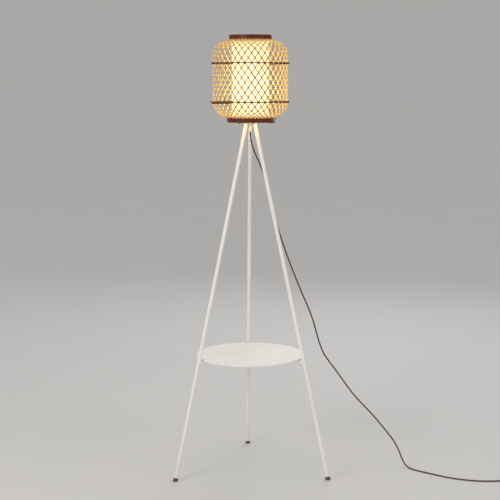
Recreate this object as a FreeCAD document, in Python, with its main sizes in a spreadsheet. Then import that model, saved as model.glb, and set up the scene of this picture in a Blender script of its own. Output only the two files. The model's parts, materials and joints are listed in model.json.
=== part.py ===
"""Tripod floor lamp: three tube legs, a round shelf, a woven lantern shade that lifts off, and a mains cord.

Millimetres, +Z up. The origin is on the floor, on the lamp's upright axis, which is the middle of the
circle through the three feet. The left and right feet are towards -Y, the back foot is towards +Y.
"""

import FreeCAD, Part
import math
import os

import Sketcher

V = FreeCAD.Vector
UP = V(0, 0, 1)

DIMENSIONS = {
    # stand
    "foot_circle_radius": 300,
    "head_circle_radius": 16.6,
    "head_level": 1204,
    "tube_radius": 6.5,
    "tube_wall": 1.2,
    "tube_bottom_gap": 4,
    "tube_top_level": 1203.5,
    "fit_gap": 0.05,
    "foot_radius": 8.2,
    "foot_length": 20,
    "head_disc_radius": 25,
    "head_disc_level": 1206,
    "head_disc_thickness": 6,
    "spigot_radius": 5.2,
    "spigot_bottom_level": 1176,
    "set_screw_radius": 2,
    "set_screw_level": 1190,
    # shelf
    "shelf_radius": 187,
    "shelf_level": 400,
    "shelf_thickness": 8,
    "shelf_edge_radius": 2,
    "lug_width": 22,
    "lug_thickness": 2.5,
    "lug_inner_radius": 162,
    "lug_outer_radius": 203,
    "shelf_screw_circle": 175,
    "shelf_screw_radius": 2,
    "shelf_screw_depth": 6.4,
    # stem and lampholder
    "stem_radius": 4.95,
    "stem_bore": 3.6,
    "stem_bottom": 1195,
    "stem_top": 1226,
    "washer_radius": 10,
    "washer_thickness": 1.2,
    "nut_corner_radius": 8.1,
    "nut_height": 5,
    "relief_end_level": 1176.5,
    "relief_end_radius": 4.1,
    "relief_radius": 7.5,
    "holder_radius": 19.5,
    "holder_cap_level": 1218.2,
    "holder_joint_level": 1246,
    "holder_rim_level": 1278,
    "holder_base_radius": 17.2,
    "holder_base_height": 11,
    "terminal_spacing": 18,
    "terminal_screw_radius": 1.5,
    "thread_shell_radius": 14.1,
    "thread_shell_top": 1274,
    "retaining_ring_radius": 26,
    "retaining_ring_bottom": 1252.05,
    "retaining_ring_top": 1261,
    "lead_wire_radius": 1.1,
    "bulb_radius": 30,
    "bulb_centre_level": 1335,
    "bulb_tip_level": 1250,
    "bulb_cap_radius": 13.1,
    "bulb_cap_top_above_tip": 27,
    "bulb_neck_radius": 12.3,
    "filament_length": 33,
    "filament_radius": 0.9,
    "filament_circle": 7.5,
    # wire carrier
    "carrier_wire_radius": 1.5,
    "carrier_ring_radius": 21.5,
    "carrier_ring_level": 1250.5,
    "carrier_arm_level": 1206.2,
    "carrier_hook_radius": 82.5,
    # shade
    "weave_radius": 127.7,
    "weave_thickness": 1.4,
    "weave_low_turn_level": 1276,
    "weave_high_turn_level": 1433,
    "weave_top_turn_radius": 86.5,
    "weave_bottom_turn_radius": 91,
    "strip_thickness": 1.8,
    "strip_gap": 0.1,
    "top_band_radius": 72,
    "top_band_level": 1486,
    "top_band_height": 14,
    "bottom_band_radius": 79,
    "bottom_band_level": 1208,
    "bottom_band_height": 15,
    "hoop_wire_radius": 1.7,
    "hoop_gap": 0.15,
    "upper_hoop_level": 1406,
    "lower_hoop_level": 1277,
    "diffuser_radius": 64,
    "diffuser_wall": 0.8,
    "diffuser_bottom": 1211,
    "diffuser_top": 1494,
    "diffuser_wire_radius": 1.25,
    "diffuser_peg_radius": 1,
    "top_peg_level": 1491,
    "bottom_peg_level": 1215,
    # mains cord
    "cord_radius": 2.5,
    "coil_mid_radius": 27.5,
    "coil_centre_x": 975,
    "coil_centre_y": -217,
    "coil_bottom_level": 1.25,
    "tie_width": 8,
    "tie_thickness": 1,
    "switch_length": 64,
    "switch_width": 34,
    "switch_inlet_x": 872,
    "switch_y": -190,
    "switch_base_level": 0.2,
    "switch_split_level": 9.2,
    "switch_top_level": 19.2,
    "switch_wall": 2,
    "switch_cord_level": 7,
    "button_radius": 9,
    "button_skirt_level": 13,
    "button_top_level": 23,
    "switch_spring_radius": 4.4,
    "switch_spring_wire": 0.5,
    "switch_spring_bottom": 3.1,
    "switch_spring_height": 10.5,
    "plug_width": 35.3,
    "plug_thickness": 13.7,
    "plug_depth": 32,
    "plug_sleeve_length": 28,
    "plug_sleeve_end_x": 945,
    "plug_pin_radius": 2,
    "plug_pin_length": 19,
    "plug_pin_spacing": 18.6,
    "plug_y": -248,
}

LEG_AZIMUTHS = {"left": 210.0, "right": 330.0, "back": 90.0}
CARRIER_AZIMUTHS = (0.0, 120.0, 240.0)
FILAMENT_AZIMUTHS = (45.0, 135.0, 225.0, 315.0)

# The cord's route from inside the strain relief to the foot switch: down between the legs,
# out behind the right leg in a long slack run, and across the floor.
CORD_ROUTE = [
    (0, 0, 1188), (0, 0, 1150), (13, -0.5, 1104), (35, -1, 1052), (52, -2, 990), (68, -3, 928),
    (85, -3.5, 864), (103, -2.5, 804), (125, -3, 747), (149, -4, 684), (173, -4, 625),
    (198, -4.5, 573), (215, -4.5, 532), (226, -4, 489), (243, -4, 434), (257, -4, 399),
    (276, -4, 370), (298, -3, 347), (325, -3, 309), (361, -3, 259), (398, -2.5, 219),
    (437, -2, 178), (472, -2, 134), (505, -2, 93), (523, -3, 57), (534, -7, 27),
    (545, -21, 7.5), (560, -46, 2.6), (589, -75, 2.6), (631, -112, 2.6), (671, -147, 2.6),
    (713, -170, 2.6), (757, -186, 2.6), (802, -192, 2.6), (846, -190.6, 3.4), (876, -190, 7),
]
# From the foot switch into the coil, and from the coil to the plug's sleeve.
CORD_TAIL_ROUTE = [(932, -190, 7), (946, -189, 5.9), (960, -187.3, 4.4), (975, -187, 3.8)]
CORD_END_ROUTE = [(975, -247, 8.8), (964, -247.7, 8.3), (954, -248, 7.55), (945, -248, 7.55)]

doc = FreeCAD.newDocument("tripod_floor_lamp")
dim = doc.addObject("Spreadsheet::Sheet", "Dim")
for row, (alias, value) in enumerate(DIMENSIONS.items(), start=1):
    dim.set(f"A{row}", alias)
    dim.set(f"B{row}", str(value))
    dim.setAlias(f"B{row}", alias)
doc.recompute()

nodes = []


def size(formula):
    """The value of a formula of the sheet's dimensions, such as 'Dim.tube_radius - 1'."""
    return float(dim.evalExpression(formula))


def node(obj, label):
    """Names an object as one of the lamp's separate pieces."""
    obj.Label = label
    nodes.append(obj)
    return obj


def bind(obj, **formulas):
    """Ties the object's sizes to formulas of the sheet."""
    for name, formula in formulas.items():
        obj.setExpression(name, formula)
    return obj


def cylinder(radius, height, base=V(), axis=UP, level=None):
    """A cylinder from base along axis. level ties the base's height to a formula."""
    obj = bind(doc.addObject("Part::Cylinder", "Cylinder"), Radius=radius, Height=height)
    obj.Placement = FreeCAD.Placement(base, FreeCAD.Rotation(UP, axis))
    if level:
        obj.setExpression(".Placement.Base.z", level)
    return obj


def block(length, width, height, corner, turn=0.0):
    """A box from its low corner, turned about the lamp's axis by turn degrees."""
    obj = bind(doc.addObject("Part::Box", "Block"), Length=length, Width=width, Height=height)
    spin = FreeCAD.Rotation(UP, turn)
    obj.Placement = FreeCAD.Placement(spin.multVec(corner), spin)
    return obj


def torus(ring_radius, wire_radius, level, centre=V()):
    obj = bind(doc.addObject("Part::Torus", "Torus"), Radius1=ring_radius, Radius2=wire_radius)
    obj.Placement = FreeCAD.Placement(centre, FreeCAD.Rotation())
    obj.setExpression(".Placement.Base.z", level)
    return obj


def cut(base, *tools):
    """base with every tool taken away."""
    for tool in tools:
        result = doc.addObject("Part::Cut", "Cut")
        result.Base = base
        result.Tool = tool
        base = result
    return base


def fuse(*shapes):
    result = doc.addObject("Part::MultiFuse", "Fuse")
    result.Shapes = list(shapes)
    return result


def group(*shapes):
    """Separate solids kept together in one node."""
    result = doc.addObject("Part::Compound", "Group")
    result.Links = list(shapes)
    return result


def tube(outer, inner, height, level):
    """An upright tube on the lamp's axis; the bore runs past both ends."""
    bore = cylinder(inner, f"{height} + 2", level=f"{level} - 1")
    return cut(cylinder(outer, height, level=level), bore)


def origin_plane(body, role):
    return next(f for f in body.Origin.OriginFeatures if f.Role == role)


def new_sketch(body, role):
    sketch = body.newObject("Sketcher::SketchObject", "Sketch")
    sketch.AttachmentSupport = [(origin_plane(body, role), "")]
    sketch.MapMode = "FlatFace"
    return sketch


def arc_between(start, end, radius):
    """The shorter arc from start to end. A positive radius has its centre on the left of the way."""
    chord = end - start
    half = chord.Length / 2
    left = V(-chord.y, chord.x, 0).normalize()
    reach = math.sqrt(radius * radius - half * half)
    centre = (start + end) / 2 + left * math.copysign(reach, radius)
    middle = centre - left * math.copysign(abs(radius), radius)
    return Part.Arc(start, middle, end)


def draw_outline(sketch, outline):
    """A closed outline. Each corner is (across, up) or (across, up, radius of the arc that leaves it),
    as formulas; every corner and radius is a constraint tied to its formula."""
    corners = [V(size(c[0]), size(c[1]), 0) for c in outline]
    count = len(outline)
    edges = []
    for i, corner in enumerate(outline):
        start, end = corners[i], corners[(i + 1) % count]
        if len(corner) == 3:
            arc = sketch.addGeometry(arc_between(start, end, size(corner[2])), False)
            counterclockwise = size(corner[2]) > 0
            edges.append((arc, 1, 2) if counterclockwise else (arc, 2, 1))
        else:
            edges.append((sketch.addGeometry(Part.LineSegment(start, end), False), 1, 2))
    for i, (edge, first, last) in enumerate(edges):
        following, start_of_following, _ = edges[(i + 1) % count]
        meeting = Sketcher.Constraint("Coincident", edge, last, following, start_of_following)
        sketch.addConstraint(meeting)
        for kind, formula in (("DistanceX", outline[i][0]), ("DistanceY", outline[i][1])):
            number = sketch.addConstraint(Sketcher.Constraint(kind, -1, 1, edge, first, size(formula)))
            sketch.setExpression(f"Constraints[{number}]", formula)
        if len(outline[i]) == 3:
            radius = abs(size(outline[i][2]))
            number = sketch.addConstraint(Sketcher.Constraint("Radius", edge, radius))
            sketch.setExpression(f"Constraints[{number}]", f"abs({outline[i][2]})")


def revolved(outline, name, centre=V()):
    """A PartDesign body turned from an outline of (radius, height) about its upright axis."""
    body = doc.addObject("PartDesign::Body", name)
    sketch = new_sketch(body, "XZ_Plane")
    draw_outline(sketch, outline)
    turned = body.newObject("PartDesign::Revolution", "Revolution")
    turned.Profile = sketch
    turned.ReferenceAxis = (sketch, ["V_Axis"])
    turned.Angle = 360
    sketch.Visibility = False
    body.Placement = FreeCAD.Placement(centre, FreeCAD.Rotation())
    return body


def rounded_block(name, length, width, height, edge_radius, place, hollow=None, up=True):
    """A padded rectangle centred on the body's axis, with rounded upright edges, and a pocket
    (length, width, depth) cut into its open side."""
    body = doc.addObject("PartDesign::Body", name)
    sketch = new_sketch(body, "XY_Plane")
    draw_outline(sketch, rectangle(length, width))
    pad = body.newObject("PartDesign::Pad", "Pad")
    pad.Profile = sketch
    pad.setExpression("Length", height)
    doc.recompute()
    fillet = body.newObject("PartDesign::Fillet", "Fillet")
    fillet.Base = (pad, upright_edges(pad.Shape))
    fillet.Radius = edge_radius
    doc.recompute()
    if hollow:
        before = body.Shape.Volume
        inside = new_sketch(body, "XY_Plane")
        if not up:
            inside.setExpression(".AttachmentOffset.Base.z", height)
        draw_outline(inside, rectangle(hollow[0], hollow[1]))
        pocket = body.newObject("PartDesign::Pocket", "Pocket")
        pocket.Profile = inside
        pocket.setExpression("Length", hollow[2])
        pocket.Reversed = up
        doc.recompute()
        if body.Shape.Volume > before - 1:
            raise RuntimeError(f"{name}: the pocket cut nothing")
    body.Placement = place
    return body


def rectangle(length, width):
    return [
        (f"-({length}) / 2", f"-({width}) / 2"),
        (f"({length}) / 2", f"-({width}) / 2"),
        (f"({length}) / 2", f"({width}) / 2"),
        (f"-({length}) / 2", f"({width}) / 2"),
    ]


def upright_edges(shape):
    names = []
    for number, edge in enumerate(shape.Edges, start=1):
        direction = edge.Vertexes[-1].Point - edge.Vertexes[0].Point
        if abs(direction.z) > 0.99 * direction.Length:
            names.append(f"Edge{number}")
    return names


def rounded_path(points, share=0.45):
    """Straight runs joined by tangent arcs, each as large as its two runs allow, and the arcs' radii."""
    points = [V(*p) for p in points]
    edges, radii = [], []
    last = points[0]
    for before, corner, after in zip(points, points[1:], points[2:]):
        arriving = (corner - before).normalize()
        leaving = (after - corner).normalize()
        half_turn = arriving.getAngle(leaving) / 2
        reach = share * min((corner - before).Length, (after - corner).Length)
        radius = reach / math.tan(half_turn)
        start = corner - arriving * reach
        end = corner + leaving * reach
        inward = (leaving - arriving).normalize()
        middle = corner + inward * (radius / math.cos(half_turn) - radius)
        edges.append(Part.LineSegment(last, start).toShape())
        edges.append(Part.Arc(start, middle, end).toShape())
        radii.append(radius)
        last = end
    edges.append(Part.LineSegment(last, points[-1]).toShape())
    return Part.Wire(edges), radii


def swept(label, points, radius_formula, share=0.45):
    """A round wire or cord along a route, as one solid whose volume is its section times its length."""
    radius = size(radius_formula)
    path, radii = rounded_path(points, share)
    start = path.Edges[0].valueAt(path.Edges[0].FirstParameter)
    direction = path.Edges[0].tangentAt(path.Edges[0].FirstParameter)
    profile = Part.Wire([Part.Circle(start, direction, radius).toShape()])
    solid = path.makePipeShell([profile], True, False)
    expected = math.pi * radius * radius * path.Length
    if abs(solid.Volume / expected - 1) > 0.01:
        raise RuntimeError(f"{label}: volume {solid.Volume:.1f}, and its length needs {expected:.1f}")
    print(f"{label}: length {path.Length:.1f}, smallest bend {min(radii):.1f}")
    feature = doc.addObject("Part::Feature", "Swept")
    feature.Shape = solid
    return feature


# Stand ----------------------------------------------------------------------------------------------

LEAN = math.atan(size("(Dim.foot_circle_radius - Dim.head_circle_radius) / Dim.head_level"))


def outward(azimuth):
    return V(math.cos(math.radians(azimuth)), math.sin(math.radians(azimuth)), 0)


def leg_axis(azimuth):
    """The direction of a leg, from its foot up to the head."""
    return outward(azimuth) * -math.sin(LEAN) + UP * math.cos(LEAN)


def on_leg(azimuth, along):
    """The point of a leg's centre line at a distance along it from the floor."""
    return outward(azimuth) * size("Dim.foot_circle_radius") + leg_axis(azimuth) * along


def at_level(level_formula):
    """How far along a leg a height above the floor is."""
    return size(level_formula) / math.cos(LEAN)


def set_screw_hole(azimuth):
    """The hole for a leg's set screw, from outside the tube into the spigot."""
    out_of_leg = outward(azimuth) * math.cos(LEAN) + UP * math.sin(LEAN)
    start = on_leg(azimuth, at_level("Dim.set_screw_level")) + out_of_leg * 2.4
    return cylinder("Dim.set_screw_radius + Dim.fit_gap", "6", start, out_of_leg)


def set_screw(azimuth):
    out_of_leg = outward(azimuth) * math.cos(LEAN) + UP * math.sin(LEAN)
    start = on_leg(azimuth, at_level("Dim.set_screw_level")) + out_of_leg * 2.5
    shank = cylinder("Dim.set_screw_radius", "3.9", start, out_of_leg)
    socket = cylinder("1", "2", start + out_of_leg * 2.4, out_of_leg)
    return cut(shank, socket)


def make_leg(side, azimuth):
    bottom = size("Dim.tube_bottom_gap")
    axis = leg_axis(azimuth)
    length = at_level("Dim.tube_top_level") - bottom
    outer = cylinder("Dim.tube_radius", f"{length}", on_leg(azimuth, bottom), axis)
    bore = "Dim.tube_radius - Dim.tube_wall"
    inner = cylinder(bore, f"{length + 2}", on_leg(azimuth, bottom - 1), axis)
    node(cut(outer, inner, set_screw_hole(azimuth)), f"leg_{side}")


def make_foot(side, azimuth):
    """A rubber cap on the tube's end, cut level where it stands on the floor."""
    axis = leg_axis(azimuth)
    below, side_of_block = 4, 60
    body = cylinder("Dim.foot_radius", f"Dim.foot_length + {below}", on_leg(azimuth, -below), axis)
    corner = V(size("Dim.foot_circle_radius") - side_of_block / 2, -side_of_block / 2, -side_of_block)
    under_floor = block(*[f"{side_of_block}"] * 3, corner, azimuth)
    socket = cylinder(
        "Dim.tube_radius + Dim.fit_gap", "Dim.foot_length",
        on_leg(azimuth, size("Dim.tube_bottom_gap - Dim.fit_gap")), axis,
    )
    node(cut(body, under_floor, socket), f"foot_{side}")


def make_head():
    """The disc that carries the lampholder, with an angled spigot for each leg."""
    disc = cylinder("Dim.head_disc_radius", "Dim.head_disc_thickness", level="Dim.head_disc_level")
    bore = cylinder("Dim.stem_radius + Dim.fit_gap", "Dim.head_disc_thickness + 2",
                    level="Dim.head_disc_level - 1")
    spigots, holes = [], []
    low = at_level("Dim.spigot_bottom_level")
    high = at_level("Dim.head_disc_level + 3")
    for azimuth in LEG_AZIMUTHS.values():
        start = on_leg(azimuth, low)
        spigots.append(cylinder("Dim.spigot_radius", f"{high - low}", start, leg_axis(azimuth)))
        holes.append(set_screw_hole(azimuth))
    node(cut(fuse(disc, *spigots), bore, *holes), "tripod_head")


def make_shelf():
    """A round board with softened edges and a blind pilot hole over each lug."""
    low, high = "Dim.shelf_level", "Dim.shelf_level + Dim.shelf_thickness"
    edge, soft = "Dim.shelf_radius", "Dim.shelf_edge_radius"
    outline = [
        ("0", low), (f"{edge} - {soft}", low, soft), (edge, f"{low} + {soft}"),
        (edge, f"{high} - {soft}", soft), (f"{edge} - {soft}", high), ("0", high),
    ]
    pilots = [
        cylinder("Dim.shelf_screw_radius + Dim.fit_gap", "Dim.shelf_screw_depth + 1.1",
                 outward(azimuth) * size("Dim.shelf_screw_circle"), level=f"{low} - 1")
        for azimuth in LEG_AZIMUTHS.values()
    ]
    node(cut(revolved(outline, "ShelfBoard"), *pilots), "shelf")


def make_lug(side, azimuth):
    """A flat steel tab welded to the leg, which carries the shelf's edge."""
    under = "Dim.shelf_level - Dim.lug_thickness"
    corner = V(size("Dim.lug_inner_radius"), size("-Dim.lug_width / 2"), size(under))
    length = "Dim.lug_outer_radius - Dim.lug_inner_radius"
    tab = block(length, "Dim.lug_width", "Dim.lug_thickness", corner, azimuth)
    half_leg = 100
    start = on_leg(azimuth, at_level("Dim.shelf_level") - half_leg)
    leg = cylinder("Dim.tube_radius + Dim.fit_gap", f"{2 * half_leg}", start, leg_axis(azimuth))
    hole = cylinder("Dim.shelf_screw_radius + 0.2", "Dim.lug_thickness + 2",
                    outward(azimuth) * size("Dim.shelf_screw_circle"), level=f"{under} - 1")
    node(cut(tab, leg, hole), f"shelf_lug_{side}")


def make_shelf_screws():
    under = "Dim.shelf_level - Dim.lug_thickness"
    head_height = 2.4
    screws = []
    for azimuth in LEG_AZIMUTHS.values():
        at = outward(azimuth) * size("Dim.shelf_screw_circle")
        head = cylinder("Dim.shelf_screw_radius * 2", f"{head_height}", at, level=f"{under} - {head_height}")
        shank = cylinder("Dim.shelf_screw_radius", "Dim.lug_thickness + Dim.shelf_screw_depth + 1", at,
                         level=f"{under} - 1")
        socket = cylinder("1.2", "1.4", at, level=f"{under} - {head_height} - 0.2")
        screws.append(cut(fuse(head, shank), socket))
    node(group(*screws), "shelf_screws")


# Stem and lampholder --------------------------------------------------------------------------------


def make_stem():
    """The threaded tube through the head, its washer and nut, and the strain relief screwed on below."""
    disc_top = "Dim.head_disc_level + Dim.head_disc_thickness"
    bottom, hole = "Dim.stem_bottom", "Dim.stem_radius + Dim.fit_gap"
    node(tube("Dim.stem_radius", "Dim.stem_bore", f"Dim.stem_top - {bottom}", bottom), "stem_tube")
    node(tube("Dim.washer_radius", hole, "Dim.washer_thickness", disc_top), "stem_washer")
    nut = bind(doc.addObject("Part::Prism", "Nut"), Circumradius="Dim.nut_corner_radius",
               Height="Dim.nut_height")
    nut.setExpression(".Placement.Base.z", f"{disc_top} + Dim.washer_thickness")
    node(cut(nut, cylinder(hole, "Dim.nut_height + 2", level=f"{disc_top} + 0.2")), "stem_nut")
    thread, cord_hole, sheath_room = "Dim.stem_radius + 0.1", "Dim.cord_radius + 0.15", "4"
    top, end, wide = "Dim.head_disc_level - 0.1", "Dim.relief_end_level", "Dim.relief_radius"
    relief = [
        (thread, top), (thread, f"{bottom} - 0.5"), (sheath_room, f"{bottom} - 0.5"),
        (sheath_room, f"{bottom} - 5"), (cord_hole, f"{bottom} - 6"), (cord_hole, end),
        ("Dim.relief_end_radius", end), (wide, f"{bottom} + 1"), (wide, top),
    ]
    node(revolved(relief, "StrainRelief"), "cord_strain_relief")


def make_lampholder():
    wall, joint, rim = "Dim.holder_radius", "Dim.holder_joint_level", "Dim.holder_rim_level"
    floor = "Dim.holder_cap_level"
    bore = "Dim.stem_radius + Dim.fit_gap"
    cap = [
        (bore, floor), ("12", floor), ("17.5", f"{floor} + 5.8"), (wall, f"{floor} + 13"), (wall, joint),
        (f"{wall} - 2", joint), (f"{wall} - 2", f"{floor} + 14"), ("15.5", f"{floor} + 7.6"),
        ("11.3", f"{floor} + 3.2"), (bore, f"{floor} + 3.2"),
    ]
    node(revolved(cap, "HolderCap"), "holder_cap")
    shell = [
        (f"{wall} - 3", joint), ("23", joint), ("23", f"{joint} + 3"), (wall, f"{joint} + 3"),
        (wall, rim), (f"{wall} - 3", rim),
    ]
    node(revolved(shell, "HolderShell"), "holder_shell")
    base = cylinder("Dim.holder_base_radius", "Dim.holder_base_height", level=f"{joint} - 12")
    terminal = size("Dim.terminal_spacing / 2")
    shank_radius, holes, screws = "Dim.terminal_screw_radius", [], []
    for at in (V(-terminal, 0, 0), V(terminal, 0, 0)):
        holes.append(cylinder(f"{shank_radius} + Dim.fit_gap", "14", at, level=f"{joint} - 13.5"))
        shank = cylinder(shank_radius, "5", at, level=f"{joint} - 5")
        head = cylinder(f"{shank_radius} + 1.1", "1.8", at, level=f"{joint} - 1")
        screws.append(fuse(shank, head))
    node(cut(base, *holes), "holder_base")
    node(group(*screws), "terminal_screws")
    thread, sheet, flange = "Dim.thread_shell_radius", "0.5", "12.2"
    shell_top = "Dim.thread_shell_top"
    outline = [
        (flange, f"{joint} - 1"), (thread, f"{joint} - 1"), (thread, shell_top),
        (f"{thread} - {sheet}", shell_top), (f"{thread} - {sheet}", f"{joint} - 0.4"),
        (flange, f"{joint} - 0.4"),
    ]
    node(revolved(outline, "ThreadShell"), "thread_shell")
    contact_width, contact_length = 4, 8
    corner = V(-contact_width / 2, -6, 0)
    post = block(f"{contact_width}", "2", "4.2", corner + UP * size(f"{joint} - 1"))
    tongue = block(f"{contact_width}", f"{contact_length}", "0.5", corner + UP * size(f"{joint} + 3.2"))
    node(fuse(post, tongue), "centre_contact")
    inside, grip = "Dim.holder_radius + 0.1", "Dim.retaining_ring_radius"
    low, high = "Dim.retaining_ring_bottom", "Dim.retaining_ring_top"
    ring = [
        (inside, low), (f"{grip} - 1", low), (grip, f"{low} + 0.95"), (grip, f"{high} - 2"),
        (f"{grip} - 2", high), (inside, high),
    ]
    node(revolved(ring, "RetainingRing"), "holder_retaining_ring")
    wires = []
    sheath_end, screw_level = size("Dim.stem_bottom - 4.5"), size(f"{joint} - 6")
    for sign in (-1, 1):
        near, far = 1.5 * sign, terminal * sign
        way = [(near, 0, sheath_end), (near, 0, screw_level - 11.5), (far, 0, screw_level - 7.7),
               (far, 0, screw_level)]
        wires.append(swept(f"lead_wire {sign:+d}", way, "Dim.lead_wire_radius"))
    node(group(*wires), "lead_wires")


def make_bulb():
    tip = "Dim.bulb_tip_level"
    centre, globe = "Dim.bulb_centre_level", "Dim.bulb_radius"
    node(cylinder("4.5", "1.2", level=tip), "bulb_tip")
    low, high = f"{tip} + 1.2", f"{tip} + 4.2"
    insulator = [("0", low), ("5", low), ("10.5", high), ("0", high)]
    node(revolved(insulator, "BulbInsulator"), "bulb_insulator")
    rim, cap_radius = f"{tip} + Dim.bulb_cap_top_above_tip", "Dim.bulb_cap_radius"
    cap = [
        ("0", f"{tip} + 4.2"), (f"{cap_radius} - 2.1", f"{tip} + 4.2"), (cap_radius, f"{tip} + 6.5"),
        (cap_radius, rim), (f"{cap_radius} - 0.6", rim), (f"{cap_radius} - 0.6", f"{tip} + 7"),
        ("0", f"{tip} + 7"),
    ]
    node(revolved(cap, "BulbCap"), "bulb_cap")
    neck, neck_bottom, neck_top = "Dim.bulb_neck_radius", f"{tip} + 12", f"{rim} + 2"
    drop, inner = "16.3", f"({globe} - 1)"
    flare = 70
    glass = [
        (neck, neck_bottom), (neck, neck_top, f"-{flare}"),
        (f"sqrt({globe} ^ 2 - {drop} ^ 2)", f"{centre} - {drop}", globe), ("0", f"{centre} + {globe}"),
        ("0", f"{centre} + {inner}", f"-{inner}"),
        (f"sqrt({inner} ^ 2 - {drop} ^ 2)", f"{centre} - {drop}", f"{flare - 1}"),
        (f"{neck} - 1", neck_top), (f"{neck} - 1", neck_bottom),
    ]
    node(revolved(glass, "BulbGlass"), "bulb_glass")
    low_disc, disc = f"{centre} - 32", "1"
    high_disc = f"{low_disc} + {disc} + Dim.filament_length"
    wide, edge = f"{neck} - 1.5", "Dim.filament_circle + 2"
    stem = [
        ("0", neck_bottom), (wide, neck_bottom), (wide, f"{neck_bottom} + 2"), ("4", f"{neck_bottom} + 8"),
        ("2", low_disc), (edge, low_disc), (edge, f"{low_disc} + {disc}"), ("1", f"{low_disc} + {disc}"),
        ("1", high_disc), (edge, high_disc), (edge, f"{high_disc} + {disc}"), ("0", f"{high_disc} + {disc}"),
    ]
    node(revolved(stem, "BulbStem"), "bulb_stem")
    filaments = [
        cylinder("Dim.filament_radius", "Dim.filament_length",
                 outward(azimuth) * size("Dim.filament_circle"), level=f"{low_disc} + {disc}")
        for azimuth in FILAMENT_AZIMUTHS
    ]
    node(group(*filaments), "bulb_filaments")


def make_wire_carrier():
    """A wire ring clamped on the lampholder, with three arms that run out under the bottom band
    and turn up outside it as hooks."""
    ring = torus("Dim.carrier_ring_radius", "Dim.carrier_wire_radius", "Dim.carrier_ring_level")
    ring_r, ring_z = size("Dim.carrier_ring_radius"), size("Dim.carrier_ring_level")
    arm_z, hook_r = size("Dim.carrier_arm_level"), size("Dim.carrier_hook_radius")
    profile = [(ring_r, ring_z), (32, ring_z), (56, arm_z), (hook_r, arm_z), (hook_r, arm_z + 12),
               (hook_r + 6, arm_z + 16)]
    arms = []
    for number, azimuth in enumerate(CARRIER_AZIMUTHS):
        way = outward(azimuth)
        points = [way * across + UP * up for across, up in profile]
        arms.append(swept(f"carrier_arm {number}", points, "Dim.carrier_wire_radius", share=0.25))
    node(fuse(ring, *arms), "wire_carrier")


# Shade ----------------------------------------------------------------------------------------------


def make_band(where):
    """A band is an outer and an inner bamboo strip that clamp the weave's ends between them."""
    radius, level, height = (f"Dim.{where}_band_{what}" for what in ("radius", "level", "height"))
    strip, weave = "Dim.strip_thickness", "Dim.weave_thickness + 2 * Dim.strip_gap"
    node(tube(radius, f"{radius} - {strip}", height, level), f"{where}_band_outer")
    inner = f"{radius} - {strip} - ({weave})"
    strip_inside = tube(inner, f"{inner} - {strip}", height, level)
    holes = []
    for azimuth in CARRIER_AZIMUTHS:
        start = outward(azimuth) * (size(inner) - 10) + UP * size(f"Dim.{where}_peg_level")
        holes.append(cylinder("Dim.diffuser_peg_radius + 0.15", "20", start, outward(azimuth)))
    node(cut(strip_inside, *holes), f"{where}_band_inner")


def make_diffuser_ring(where):
    """A wire ring round the diffuser's end, with three pegs into the band's inner strip."""
    level = f"Dim.{where}_peg_level"
    ring_radius = "Dim.diffuser_radius + Dim.diffuser_wire_radius + 0.15"
    ring = torus(ring_radius, "Dim.diffuser_wire_radius", level)
    peg_end = f"Dim.{where}_band_radius - Dim.strip_thickness - Dim.weave_thickness - 0.4"
    pegs = [
        cylinder("Dim.diffuser_peg_radius", f"{size(peg_end) - size(ring_radius)}",
                 outward(azimuth) * size(ring_radius) + UP * size(level), outward(azimuth))
        for azimuth in CARRIER_AZIMUTHS
    ]
    node(fuse(ring, *pegs), f"diffuser_ring_{where}")


def make_woven_body():
    """The lantern's woven wall as a thin shell, open at both bands."""
    outer, thick = "Dim.weave_radius", "Dim.weave_thickness"
    top_out = "Dim.top_band_radius - Dim.strip_thickness - Dim.strip_gap"
    low_out = "Dim.bottom_band_radius - Dim.strip_thickness - Dim.strip_gap"
    top, low = "Dim.top_band_level", "Dim.bottom_band_level + Dim.bottom_band_height"
    high_turn, low_turn = "Dim.weave_high_turn_level", "Dim.weave_low_turn_level"
    top_turn, low_bend = "Dim.weave_top_turn_radius", "Dim.weave_bottom_turn_radius"
    end = "Dim.bottom_band_level + 1"
    outline = [
        (low_out, end), (low_out, f"{low} + 0.6"), (low_bend, f"{low} + 4.6", "51"),
        (outer, low_turn), (outer, high_turn, "46.7"), (top_turn, f"{top} - 5.4"),
        (top_out, f"{top} - 0.4"), (top_out, f"{top} + 13"), (f"{top_out} - {thick}", f"{top} + 13"),
        (f"{top_out} - {thick}", f"{top} - 1.6"), (f"{top_turn} - 0.5", f"{top} - 6.8", "-45.3"),
        (f"{outer} - {thick}", high_turn), (f"{outer} - {thick}", low_turn, "-49.6"),
        (f"{low_bend} - 0.4", f"{low} + 6"), (f"{low_out} - {thick}", f"{low} + 1.8"),
        (f"{low_out} - {thick}", end),
    ]
    node(revolved(outline, "WovenBody"), "woven_body")


def make_shade():
    make_band("top")
    make_band("bottom")
    make_woven_body()
    hoop = "Dim.weave_radius + Dim.hoop_gap + Dim.hoop_wire_radius"
    node(torus(hoop, "Dim.hoop_wire_radius", "Dim.upper_hoop_level"), "hoop_upper")
    node(torus(hoop, "Dim.hoop_wire_radius", "Dim.lower_hoop_level"), "hoop_lower")
    node(tube("Dim.diffuser_radius", "Dim.diffuser_radius - Dim.diffuser_wall",
              "Dim.diffuser_top - Dim.diffuser_bottom", "Dim.diffuser_bottom"), "diffuser")
    make_diffuser_ring("top")
    make_diffuser_ring("bottom")


# Mains cord -----------------------------------------------------------------------------------------


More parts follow.
